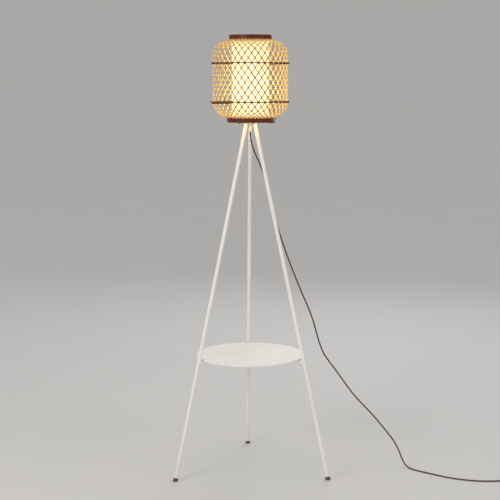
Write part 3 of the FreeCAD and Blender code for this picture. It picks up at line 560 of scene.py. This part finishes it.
def rubber_foot(side, azimuth):
    """A cap on the leg's end, moulded with a groove, its sole level on the floor."""
    foot = outward(math.radians(azimuth)) * FEET_CIRCLE
    axis = (middle_of("leg_" + side) - foot).normalized()
    across = axis.cross(UP).normalized()
    points, faces, count = [], [], 40
    for along, radius in FOOT_PROFILE:
        for at in ring_of(foot + axis * along, across, axis.cross(across), (radius, radius), count):
            points.append(at if at.z >= 0 else at - axis * (at.z / axis.z))
    for i in range(len(FOOT_PROFILE) - 1):
        for k in range(count):
            m = (k + 1) % count
            faces.append((i * count + k, i * count + m, (i + 1) * count + m, (i + 1) * count + k))
    faces.append(tuple(reversed(range(count))))
    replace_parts(piece("rubber_foot_" + side, points, faces, "rubber_foot", "stand"), "foot_" + side)


for side, azimuth in FOOT_AZIMUTHS.items():
    rubber_foot(side, azimuth)


# Switch spring --------------------------------------------------------------------------------------


def switch_spring():
    """A coil with closed ends."""
    low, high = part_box("switch_spring")
    wire, turns, per_turn = 0.0005, 6, 20
    end = 0.8  # the part of a turn that lies flat at each end
    middle, radius = (low + high) / 2, (high.x - low.x) / 2 - wire
    line = []
    for i in range(turns * per_turn + 1):
        smooth = eased(i, end * per_turn, (turns - end) * per_turn)
        even = min(1.0, max(0.0, (i / per_turn - end) / (turns - 2 * end)))
        share = 0.5 * smooth + 0.5 * even
        closed = 2 * wire * (min(1.0, i / per_turn) + max(0.0, i / per_turn - turns + 1))
        level = low.z + wire + closed + (high.z - low.z - 6 * wire) * share
        line.append(Vector((middle.x, middle.y, level)) + outward(TAU * i / per_turn) * radius)
    points, faces = [], []
    add_tube(points, faces, line, wire, sides=6, closed=False)
    made = piece("spring_coil", points, faces, "zinc_steel", "stand")
    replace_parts(made, "switch_spring")
    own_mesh(made)
    return made


spring = switch_spring()


# Mains cord -----------------------------------------------------------------------------------------

CORD_DIAMETER = 0.005
CORD_ROUTE = [
    (0, 0, 1.188), (0, 0, 1.150), (0.0145, -0.0005, 1.104), (0.0395, -0.001, 1.052), (0.0565, -0.002, 0.990),
    (0.073, -0.003, 0.928), (0.0895, -0.0035, 0.864), (0.1075, -0.0025, 0.804), (0.128, -0.003, 0.747),
    (0.152, -0.004, 0.684), (0.176, -0.004, 0.625), (0.199, -0.0045, 0.573), (0.215, -0.0045, 0.532),
    (0.227, -0.004, 0.489), (0.243, -0.004, 0.434), (0.258, -0.004, 0.401), (0.278, -0.004, 0.374),
    (0.298, -0.003, 0.347), (0.325, -0.003, 0.309), (0.361, -0.003, 0.259), (0.398, -0.0025, 0.219),
    (0.437, -0.002, 0.178), (0.472, -0.002, 0.134), (0.505, -0.002, 0.093), (0.523, -0.003, 0.057),
    (0.534, -0.007, 0.027), (0.545, -0.021, 0.0075), (0.560, -0.046, 0.0026), (0.589, -0.075, 0.0026),
    (0.631, -0.112, 0.0026), (0.671, -0.147, 0.0026), (0.713, -0.170, 0.0026), (0.757, -0.186, 0.0026),
    (0.802, -0.192, 0.0026), (0.846, -0.1906, 0.0034), (0.876, -0.190, 0.007),
]
CORD_TAIL_ROUTE = [(0.932, -0.190, 0.007), (0.946, -0.189, 0.0059), (0.960, -0.1862, 0.0044)]
CORD_END_ROUTE = [(0.964, -0.2477, 0.0083), (0.954, -0.248, 0.00755), (0.945, -0.248, 0.00755)]
COIL_CENTRE = Vector((0.975, -0.217, 0))
COIL_TURNS, LOWER_TURNS = 3.5, 2
POINTS_A_TURN = 14
COIL_OUTER, COIL_INNER = 0.0322, 0.02196
INWARD_A_TURN, OUTWARD_A_TURN = 0.00512, 0.0054
LOWER_LEVEL, LAYER = 0.0027, 0.0051
COIL_WIDENING = 1.0257  # the line runs this much inside its control points


def coil_points():
    """The wound turns: two on the floor, spiralling in, and one and a half on top, spiralling out."""
    points = []
    for step in range(int(COIL_TURNS * POINTS_A_TURN) + 1):
        turns = step / POINTS_A_TURN
        if turns < LOWER_TURNS:
            radius = COIL_OUTER - INWARD_A_TURN * turns
        else:
            radius = COIL_INNER + OUTWARD_A_TURN * (turns - LOWER_TURNS)
        level = LOWER_LEVEL + LAYER * eased(turns, LOWER_TURNS - 0.25, LOWER_TURNS + 0.2)
        angle = math.pi / 2 - TAU * turns
        points.append(COIL_CENTRE + outward(angle) * (radius * COIL_WIDENING) + UP * level)
    return points


def cord_piece(name, route):
    """A length of the cord: one smooth line with the route's points as its control points."""
    data = bpy.data.curves.new(name, "CURVE")
    data.dimensions = "3D"
    data.bevel_depth = CORD_DIAMETER / 2
    data.bevel_resolution = 4
    data.resolution_u = 10
    data.use_fill_caps = True
    spline = data.splines.new("NURBS")
    spline.points.add(len(route) - 1)
    for point, at in zip(spline.points, route):
        point.co = (*at, 1)
    spline.order_u = 3
    spline.use_endpoint_u = True
    data.materials.append(SLOT_MATERIALS["cord_pvc"])
    made = bpy.data.objects.new(name, data)
    bpy.context.scene.collection.objects.link(made)
    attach(made, "stand")
    return made


mains_cord = cord_piece("mains_cord", CORD_ROUTE)
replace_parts(mains_cord, "cord_lead")


# Woven shade ----------------------------------------------------------------------------------------

CANE = 0.0017
STRIPS = 36
STEP = TAU / STRIPS
STRIP_HALF_WIDTH = 0.0018
STRIP_THICKNESS = 0.00076
OVER_UNDER = 0.0004
ROWS_BETWEEN_HOOPS = 8
SAMPLES_A_ROW = 6
FINE_STEP = 0.001
STEEPEST = 0.87  # the sine of the most that a sliver leans from upright
BEND_STEPS = 24
INSIDE_HOOP, INSIDE_BAND = 0.0009, 0.0026  # from the hoop's inner side, and from the band's outer face
ABOVE_BAND, BELOW_BAND = 0.0012, 0.0014
SMOOTHINGS = 4
WIDTH_RANGE = (0.86, 1.14)
SHIFT_RANGE, SWAY_RANGE, SWAY_RATE = (-0.004, 0.004), (0.001, 0.004), 0.45  # radians; rate per crossing

weave_low, weave_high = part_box("woven_body")
HOOP_LOW, HOOP_HIGH = middle_of("hoop_lower").z, middle_of("hoop_upper").z
BODY_RADIUS = outer_radius("hoop_lower") - 2 * CANE - INSIDE_HOOP
TOP_RADIUS = outer_radius("top_band_outer") - INSIDE_BAND
BOTTOM_RADIUS = outer_radius("bottom_band_outer") - INSIDE_BAND
TOP_BAND, BOTTOM_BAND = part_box("top_band_outer")[0].z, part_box("bottom_band_outer")[1].z
HIGH_TURN, LOW_TURN = 1.433, 1.276  # heights where the body turns in to the bands
HIGH_CENTRE, LOW_CENTRE = 0.081, 0.0767
HIGH_BEND, LOW_BEND = 0.047, 0.0496
HIGH_SWEEP, LOW_SWEEP = 83, 74


def weave_profile():
    """The weave's middle line from the bottom band to the top one: radii and heights, evenly spaced."""
    corners = [(BOTTOM_RADIUS, weave_low.z), (BOTTOM_RADIUS, BOTTOM_BAND + ABOVE_BAND)]
    for i in range(BEND_STEPS + 1):
        angle = math.radians(-LOW_SWEEP + LOW_SWEEP * i / BEND_STEPS)
        corners.append((LOW_CENTRE + (BODY_RADIUS - LOW_CENTRE) * math.cos(angle),
                        LOW_TURN + LOW_BEND * math.sin(angle)))
    for i in range(BEND_STEPS + 1):
        angle = math.radians(HIGH_SWEEP * i / BEND_STEPS)
        corners.append((HIGH_CENTRE + (BODY_RADIUS - HIGH_CENTRE) * math.cos(angle),
                        HIGH_TURN + HIGH_BEND * math.sin(angle)))
    corners += [(TOP_RADIUS, TOP_BAND - BELOW_BAND), (TOP_RADIUS, weave_high.z)]
    fine = []
    for (r0, z0), (r1, z1) in zip(corners, corners[1:]):
        count = max(1, round(math.hypot(r1 - r0, z1 - z0) / FINE_STEP))
        fine += [(r0 + (r1 - r0) * i / count, z0 + (z1 - z0) * i / count) for i in range(count)]
    fine.append(corners[-1])
    for _ in range(SMOOTHINGS):
        inner = [((a[0] + 2 * b[0] + c[0]) / 4, (a[1] + 2 * b[1] + c[1]) / 4)
                 for a, b, c in zip(fine, fine[1:], fine[2:])]
        fine = [fine[0], *inner, fine[-1]]
    return fine


def weave_way():
    """Rows of radius, height, normal's two parts and number of crossings passed, from the lower hoop up.
    The slivers lie on the shortest way round, so they turn flatter where the shade narrows."""
    profile = weave_profile()
    steepness = STEP / 2 * ROWS_BETWEEN_HOOPS / (HOOP_HIGH - HOOP_LOW)
    constant = BODY_RADIUS * math.sin(math.atan(BODY_RADIUS * steepness))
    counted, rows = 0.0, []
    for i, (radius, height) in enumerate(profile):
        r0, z0 = profile[max(i - 1, 0)]
        r1, z1 = profile[min(i + 1, len(profile) - 1)]
        long = math.hypot(r1 - r0, z1 - z0)
        rows.append([radius, height, (z1 - z0) / long, -(r1 - r0) / long, counted])
        lean = math.asin(min(STEEPEST, constant / radius))
        if i < len(profile) - 1:
            run = math.hypot(profile[i + 1][0] - radius, profile[i + 1][1] - height)
            counted += math.tan(lean) / radius * run / (STEP / 2)
    at_hoop = next(row[4] for row in rows if row[1] >= HOOP_LOW)
    for row in rows:
        row[4] -= at_hoop
    return rows


def at_count(rows, count):
    """The row of the way at a number of crossings, between its two neighbours."""
    for a, b in zip(rows, rows[1:]):
        if a[4] <= count <= b[4]:
            share = (count - a[4]) / max(b[4] - a[4], 1e-9)
            return [x + (y - x) * share for x, y in zip(a, b)]
    return rows[-1] if count > rows[-1][4] else rows[0]


# A sliver's section, flat inside and rounded outside, in half widths and half thicknesses.
SECTION = [(-1.0, -0.6), (-0.8, -1.0), (0.8, -1.0), (1.0, -0.6), (1.0, 0.3), (0.7, 0.85), (0.0, 1.0),
           (-0.7, 0.85), (-1.0, 0.3)]


def weave_slivers(name, sense, seed):
    """One family of slivers, all leaning the same way, over and under the other family."""
    rng = random.Random(seed)
    rows = weave_way()
    first, last = rows[0][4], rows[-1][4]
    steps = int((last - first) * SAMPLES_A_ROW)
    way = [at_count(rows, first + (last - first) * i / steps) for i in range(steps + 1)]
    points, faces, uvs, tones, counts, inward = [], [], [], [], [], []
    sides = len(SECTION)
    for strip in range(STRIPS):
        base = len(points)
        half = STRIP_HALF_WIDTH * rng.uniform(*WIDTH_RANGE)
        shift, sway, phase = rng.uniform(*SHIFT_RANGE), rng.uniform(*SWAY_RANGE), rng.uniform(0, TAU)
        tone, along = rng.random(), rng.uniform(0, 3)
        line = []
        for radius, height, normal_out, normal_up, count in way:
            wander = shift + sway * math.sin(count * SWAY_RATE + phase)
            angle = strip * STEP + sense * count * STEP / 2 + wander
            way_out = outward(angle)
            normal = way_out * normal_out + UP * normal_up
            offset = sense * OVER_UNDER * math.cos(math.pi * count)
            line.append((way_out * radius + UP * height + normal * offset, normal, count))
        for i, (at, normal, count) in enumerate(line):
            ahead, behind = line[min(i + 1, steps)][0], line[max(i - 1, 0)][0]
            direction = (ahead - behind).normalized()
            across = direction.cross(normal).normalized()
            if i:
                along += (at - line[i - 1][0]).length
            for u, v in SECTION:
                points.append(at + across * (u * half) + normal * (v * STRIP_THICKNESS / 2))
                uvs.append((u * half + 0.01 * strip, along))
                tones.append(tone)
                counts.append(count)
                inward.append(1.0 if v < -0.5 else 0.0)
        for i in range(steps):
            for k in range(sides):
                m = (k + 1) % sides
                a, b = base + i * sides, base + (i + 1) * sides
                faces.append((a + k, a + m, b + m, b + k))
        faces.append(tuple(base + k for k in reversed(range(sides))))
        faces.append(tuple(base + steps * sides + k for k in range(sides)))
    made = piece(name, points, faces, "bamboo_weave")
    mesh = made.data
    layer = mesh.uv_layers.new(name="sliver")
    for loop in mesh.loops:
        layer.data[loop.index].uv = uvs[loop.vertex_index]
    for title, values in (("tone", tones), ("crossing", counts), ("inward", inward)):
        attribute = mesh.attributes.new(title, "FLOAT", "POINT")
        attribute.data.foreach_set("value", values)
    return made


slivers_right = weave_slivers("weave_slivers_right", sense=1, seed=11)
slivers_left = weave_slivers("weave_slivers_left", sense=-1, seed=23)
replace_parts(slivers_right, "woven_body")
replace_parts(slivers_left, "woven_body")


# Cane hoops and their lashings ----------------------------------------------------------------------

HOOP_RADIUS = outer_radius("hoop_lower") - CANE
HOOP_STEPS = 420
ENDS_APART = 0.0036
EASE = 0.8  # radians over which the cane comes up from beside its other end
WAVE_UP, WAVE_OUT = 0.0003, 0.0001
KNOT_HEIGHT, KNOT_LENGTH = 0.00022, 0.002
LASH_THREAD = 0.00045
LASH_LEAN = math.radians(56)
LASH_APART = 0.0005
LASH_REACH = 0.0043
LASH_INSIDE, LASH_OUTSIDE = HOOP_RADIUS - 0.0046, HOOP_RADIUS + CANE + 0.0005
LASH_POINTS = 16
SQUARENESS = 0.7


class Hoop:
    """A cane bent once round, its two ends lying one above the other. start is where the lower end
    begins, and the cane runs back from there. The last part of the upper end may spring free."""

    def __init__(self, level, start, overlap, free, spring, seed):
        self.level, self.start, self.overlap = level, start, overlap
        self.free, self.spring = free, spring
        rng = random.Random(seed)
        self.waves = [(k, rng.uniform(0.3, 1.0) / k, rng.uniform(0, TAU)) for k in (2, 3, 5, 7)]
        self.knots = [rng.uniform(0.1, 0.9) + k * TAU / 4 for k in range(4)]

    def wave(self, angle):
        return sum(size * math.sin(k * angle + phase) for k, size, phase in self.waves)

    def rise(self, turned):
        """Height over the hoop's level after turning this far: the cane starts below and eases up to it."""
        lower = 1 - eased(turned, self.overlap, self.overlap + EASE)
        return WAVE_UP * self.wave(self.start - turned) - lower * ENDS_APART

    def line(self):
        """How far the cane has turned and its middle, point by point."""
        total = TAU + self.overlap
        for i in range(HOOP_STEPS + 1):
            turned = total * i / HOOP_STEPS
            off = max(0.0, (turned - (total - self.free)) / self.free) if self.free else 0.0
            angle = self.start - turned
            radius = HOOP_RADIUS + WAVE_OUT * self.wave(angle * 2) + self.spring * off * off
            yield turned, outward(angle) * radius + UP * (self.level + self.rise(turned))

    def held_at(self, angle):
        """Heights of the cane's runs that a lashing at this angle goes round."""
        first = (self.start - angle) % TAU
        runs = [first] + ([first + TAU] if first < self.overlap - self.free else [])
        return [self.rise(turned) for turned in runs]

    def half_width(self, turned):
        """The cane's own radius: uneven, and thicker at its knots."""
        knots = sum(math.exp(-((turned - knot) * HOOP_RADIUS / KNOT_LENGTH) ** 2) for knot in self.knots)
        return CANE * (1 + 0.025 * math.sin(7 * turned) + 0.02 * math.sin(19 * turned)) + KNOT_HEIGHT * knots

    def build(self, name, node):
        steps = list(self.line())
        wide = [self.half_width(turned) for turned, _ in steps]
        points, faces = [], []
        add_tube(points, faces, [at for _, at in steps], wide, sides=8, closed=False)
        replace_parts(piece(name, points, faces, "cane"), node)

    def add_lashings(self, points, faces):
        """At each crossing, two turns of thread each way, making an X over the cane."""
        for i in range(STRIPS):
            angle = i * STEP
            out = outward(angle)
            around = UP.cross(out)
            heights = self.held_at(angle)
            level = self.level + (min(heights) + max(heights)) / 2
            centre = out * (LASH_INSIDE + LASH_OUTSIDE) / 2 + UP * level
            extra = (max(heights) - min(heights)) / 2
            for side in (-1, 1):
                long = around * (side * math.sin(LASH_LEAN)) + UP * math.cos(LASH_LEAN)
                beside = out.cross(long)
                for place in (-LASH_APART, LASH_APART):
                    loop = lashing(centre + beside * place, long, out, LASH_REACH + extra)
                    add_tube(points, faces, loop, LASH_THREAD, sides=5, normals=[beside] * len(loop))


def lashing(centre, long, out, reach):
    """One turn of thread, a rounded rectangle."""
    loop = []
    for k in range(LASH_POINTS):
        c, r = math.cos(TAU * k / LASH_POINTS), math.sin(TAU * k / LASH_POINTS)
        c = math.copysign(abs(c) ** SQUARENESS, c) * reach
        r = math.copysign(abs(r) ** SQUARENESS, r) * (LASH_OUTSIDE - LASH_INSIDE) / 2
        loop.append(centre + long * c + out * r)
    return loop


def cane_hoops():
    lower = Hoop(HOOP_LOW, start=math.radians(238), overlap=math.radians(54), free=math.radians(28),
                 spring=0.0055, seed=5)
    upper = Hoop(HOOP_HIGH, start=math.radians(96), overlap=math.radians(26), free=0, spring=0, seed=6)
    points, faces = [], []
    for name, node, hoop in (("cane_hoop_lower", "hoop_lower", lower),
                             ("cane_hoop_upper", "hoop_upper", upper)):
        hoop.build(name, node)
        hoop.add_lashings(points, faces)
    piece("hoop_lashings", points, faces, "cane", finish=WAXED_THREAD)


cane_hoops()


# Diffuser -------------------------------------------------------------------------------------------

CLOTH_THICKNESS = 0.0005
CLOTH_OVERLAP = 0.008
CLOTH_AROUND, CLOTH_UP = 488, 60  # faces each way
CLOTH_RADIUS = outer_radius("diffuser") - CLOTH_THICKNESS / 2
CLOTH_MARGIN = 0.0005
WAIST = 0.0011
PULL, PULL_REACH = 0.00035, 14
SCALLOP, SCALLOP_POWER = 0.0004, 15
SEAM_TURN = TAU + CLOTH_OVERLAP / CLOTH_RADIUS
STITCHES = 60
STITCH_POINTS = 14
STITCH_INSIDE, STITCH_OUTSIDE = CLOTH_RADIUS - 0.0016, CLOTH_RADIUS + 0.0033
STITCH_RISE, STITCH_SLANT = 0.0023, 0.0009
STITCH_THREAD, SEAM_THREAD = 0.00032, 0.0003
SEAM_STITCHES = 34
cloth_low, cloth_high = (corner.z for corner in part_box("diffuser"))


def cloth_place(turned, share):
    """A point of the cloth's middle surface: turned round from the seam, and share of the way up."""
    wave = math.cos(turned * STITCHES)
    pull = PULL * wave * (math.exp(-share * PULL_REACH) + math.exp(-(1 - share) * PULL_REACH))
    waist = WAIST * math.sin(math.pi * share) ** 0.7
    seam = CLOTH_THICKNESS * 1.6 * (1 - eased(TAU - turned, -0.02, 0.09))
    edge = SCALLOP * wave * (2 * share - 1) ** SCALLOP_POWER
    radius = CLOTH_RADIUS - CLOTH_THICKNESS - waist + pull * 0.6 + seam
    level = cloth_low + CLOTH_MARGIN + (cloth_high - cloth_low - 2 * CLOTH_MARGIN) * share - edge
    return outward(math.pi / 2 + turned) * radius + UP * level


def diffuser_cloth():
    """The cloth once round, its end lapped over its start."""
    points = [cloth_place(SEAM_TURN * i / CLOTH_AROUND, j / CLOTH_UP)
              for i in range(CLOTH_AROUND + 1) for j in range(CLOTH_UP + 1)]
    faces = []
    for i in range(CLOTH_AROUND):
        for j in range(CLOTH_UP):
            a, b = i * (CLOTH_UP + 1) + j, (i + 1) * (CLOTH_UP + 1) + j
            faces.append((a, b, b + 1, a + 1))
    made = piece("diffuser_cloth", points, faces, "diffuser_cloth")
    thick = made.modifiers.new("thickness", "SOLIDIFY")
    thick.thickness, thick.offset = CLOTH_THICKNESS, 0
    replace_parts(made, "diffuser")
    return made


def whip_stitches(points, faces, node):
    """Slanted turns of thread over a ring and the cloth's edge."""
    level = middle_of(node).z
    for i in range(STITCHES):
        out = outward(math.pi / 2 + TAU * (i + 0.5) / STITCHES)
        along = UP.cross(out)
        loop = []
        for k in range(STITCH_POINTS):
            c, r = math.cos(TAU * k / STITCH_POINTS), math.sin(TAU * k / STITCH_POINTS)
            reach = (STITCH_INSIDE + STITCH_OUTSIDE) / 2 + r * (STITCH_OUTSIDE - STITCH_INSIDE) / 2
            loop.append(out * reach + UP * (level + STITCH_RISE * c) + along * (STITCH_SLANT * c))
        add_tube(points, faces, loop, STITCH_THREAD, sides=5, normals=[along] * len(loop))


def seam_stitches(points, faces):
    """A running stitch up the seam."""
    turned = SEAM_TURN - 0.03
    out = outward(math.pi / 2 + turned)
    proud = [-0.0003, 0.0003, 0.00045, 0.0003, -0.0003]
    for i in range(SEAM_STITCHES):
        rise = [(i + part) / SEAM_STITCHES for part in (0.2, 0.32, 0.45, 0.58, 0.7)]
        line = [cloth_place(turned, 0.03 + 0.94 * share) + out * (CLOTH_THICKNESS / 2 + up)
                for share, up in zip(rise, proud)]
        add_tube(points, faces, line, SEAM_THREAD, sides=5, closed=False, normals=[out] * len(line))


def diffuser_stitches():
    points, faces = [], []
    for node in ("diffuser_ring_top", "diffuser_ring_bottom"):
        whip_stitches(points, faces, node)
    seam_stitches(points, faces)
    return piece("diffuser_stitches", points, faces, "diffuser_cloth", finish=COTTON_THREAD)


cloth = diffuser_cloth()
stitches = diffuser_stitches()


# Strap round the put-away cord ----------------------------------------------------------------------

STRAP_THICKNESS = 0.0009
STRAP_WIDTH = 0.010
STRAP_STEPS, STRAP_TAIL = 72, 16  # once round, and the free end
STRAP_START = math.radians(75)
STRAP_SQUARENESS = 0.55
STRAP_SECTION = [(-1, -0.35), (-0.94, -0.5), (0.94, -0.5), (1, -0.35), (1, 0.35), (0.94, 0.5), (-0.94, 0.5),
                 (-1, 0.35)]


def cord_strap():
    """A strap closed round the coil, its free end lying on top."""
    low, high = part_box("cord_tie")
    centre, size = (low + high) / 2, (high - low) / 2
    across, tall = size.x - STRAP_THICKNESS / 2, size.z - STRAP_THICKNESS / 2
    points, faces, line = [], [], []
    for i in range(STRAP_STEPS + STRAP_TAIL + 1):
        angle = STRAP_START - TAU * i / STRAP_STEPS
        c, h = math.cos(angle), math.sin(angle)
        lift = STRAP_THICKNESS * 1.1 * eased(i, STRAP_STEPS - 5, STRAP_STEPS + 1)
        line.append(centre + Vector((math.copysign(abs(c) ** STRAP_SQUARENESS, c) * (across + 0.2 * lift), 0,
                                     math.copysign(abs(h) ** STRAP_SQUARENESS, h) * tall + lift)))
    for i, at in enumerate(line):
        along = (line[min(i + 1, len(line) - 1)] - line[max(i - 1, 0)]).normalized()
        out = along.cross(Vector((0, 1, 0))).normalized()
        if out.dot(at - centre) < 0:
            out = -out
        half = STRAP_WIDTH / 2 * (0.75 if i == len(line) - 1 else 1.0)
        points += [at + Vector((0, u * half, 0)) + out * (v * STRAP_THICKNESS) for u, v in STRAP_SECTION]
    sides = len(STRAP_SECTION)
    for i in range(len(line) - 1):
        for k in range(sides):
            m = (k + 1) % sides
            faces.append((i * sides + k, i * sides + m, (i + 1) * sides + m, (i + 1) * sides + k))
    faces.append(tuple(range(sides)))
    faces.append(tuple((len(line) - 1) * sides + k for k in reversed(range(sides))))
    made = piece("cord_strap", points, faces, "cord_tie", "stand")
    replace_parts(made, "cord_tie")
    return made


strap = cord_strap()
tail_route = [*CORD_TAIL_ROUTE, *coil_points(), *CORD_END_ROUTE]
cord_rest = cord_piece("mains_cord_tail", tail_route)
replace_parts(cord_rest, "cord_tail", "cord_coil", "cord_end")


# Floor and the lamp's own light ---------------------------------------------------------------------

FLOOR_RADIUS, FLOOR_SIDES = 60.0, 64
BULB_LIGHT = {"power": 0.05, "size": 0.02, "colour": (1.0, 0.72, 0.42)}
LIGHT_BELOW = {"power": 0.2, "size": 0.12, "colour": (1.0, 0.52, 0.13)}


def make_floor():
    look = Look("pale_floor", Roughness=0.75)
    place = look.place()
    look.use("Base Color", look.blend(look.noise(place, 2.5, 3), (0.60, 0.60, 0.60), (0.63, 0.63, 0.63)))
    data = bpy.data.meshes.new("floor")
    rim = [tuple(outward(TAU * i / FLOOR_SIDES) * FLOOR_RADIUS) for i in range(FLOOR_SIDES)]
    data.from_pydata(rim, [], [tuple(range(FLOOR_SIDES))])
    data.materials.append(look.material)
    floor = bpy.data.objects.new("floor", data)
    bpy.context.scene.collection.objects.link(floor)


def bulb_light():
    """A small glow at the filaments, for the inside of the shade."""
    data = bpy.data.lights.new("bulb_light", "POINT")
    data.energy, data.color, data.shadow_soft_size = (BULB_LIGHT[key] for key in ("power", "colour", "size"))
    light = bpy.data.objects.new("bulb_light", data)
    light.location = middle_of("bulb_filaments")
    bpy.context.scene.collection.objects.link(light)


def light_below():
    """The light that leaves the diffuser's lower end and falls on the head and legs."""
    data = bpy.data.lights.new("light_below", "AREA")
    data.shape = "DISK"
    data.energy, data.color, data.size = (LIGHT_BELOW[key] for key in ("power", "colour", "size"))
    light = bpy.data.objects.new("light_below", data)
    light.location = middle_of("bulb_filaments")
    light.location.z = cloth_low + 0.003
    light.visible_camera = False
    bpy.context.scene.collection.objects.link(light)


make_floor()
bulb_light()
light_below()
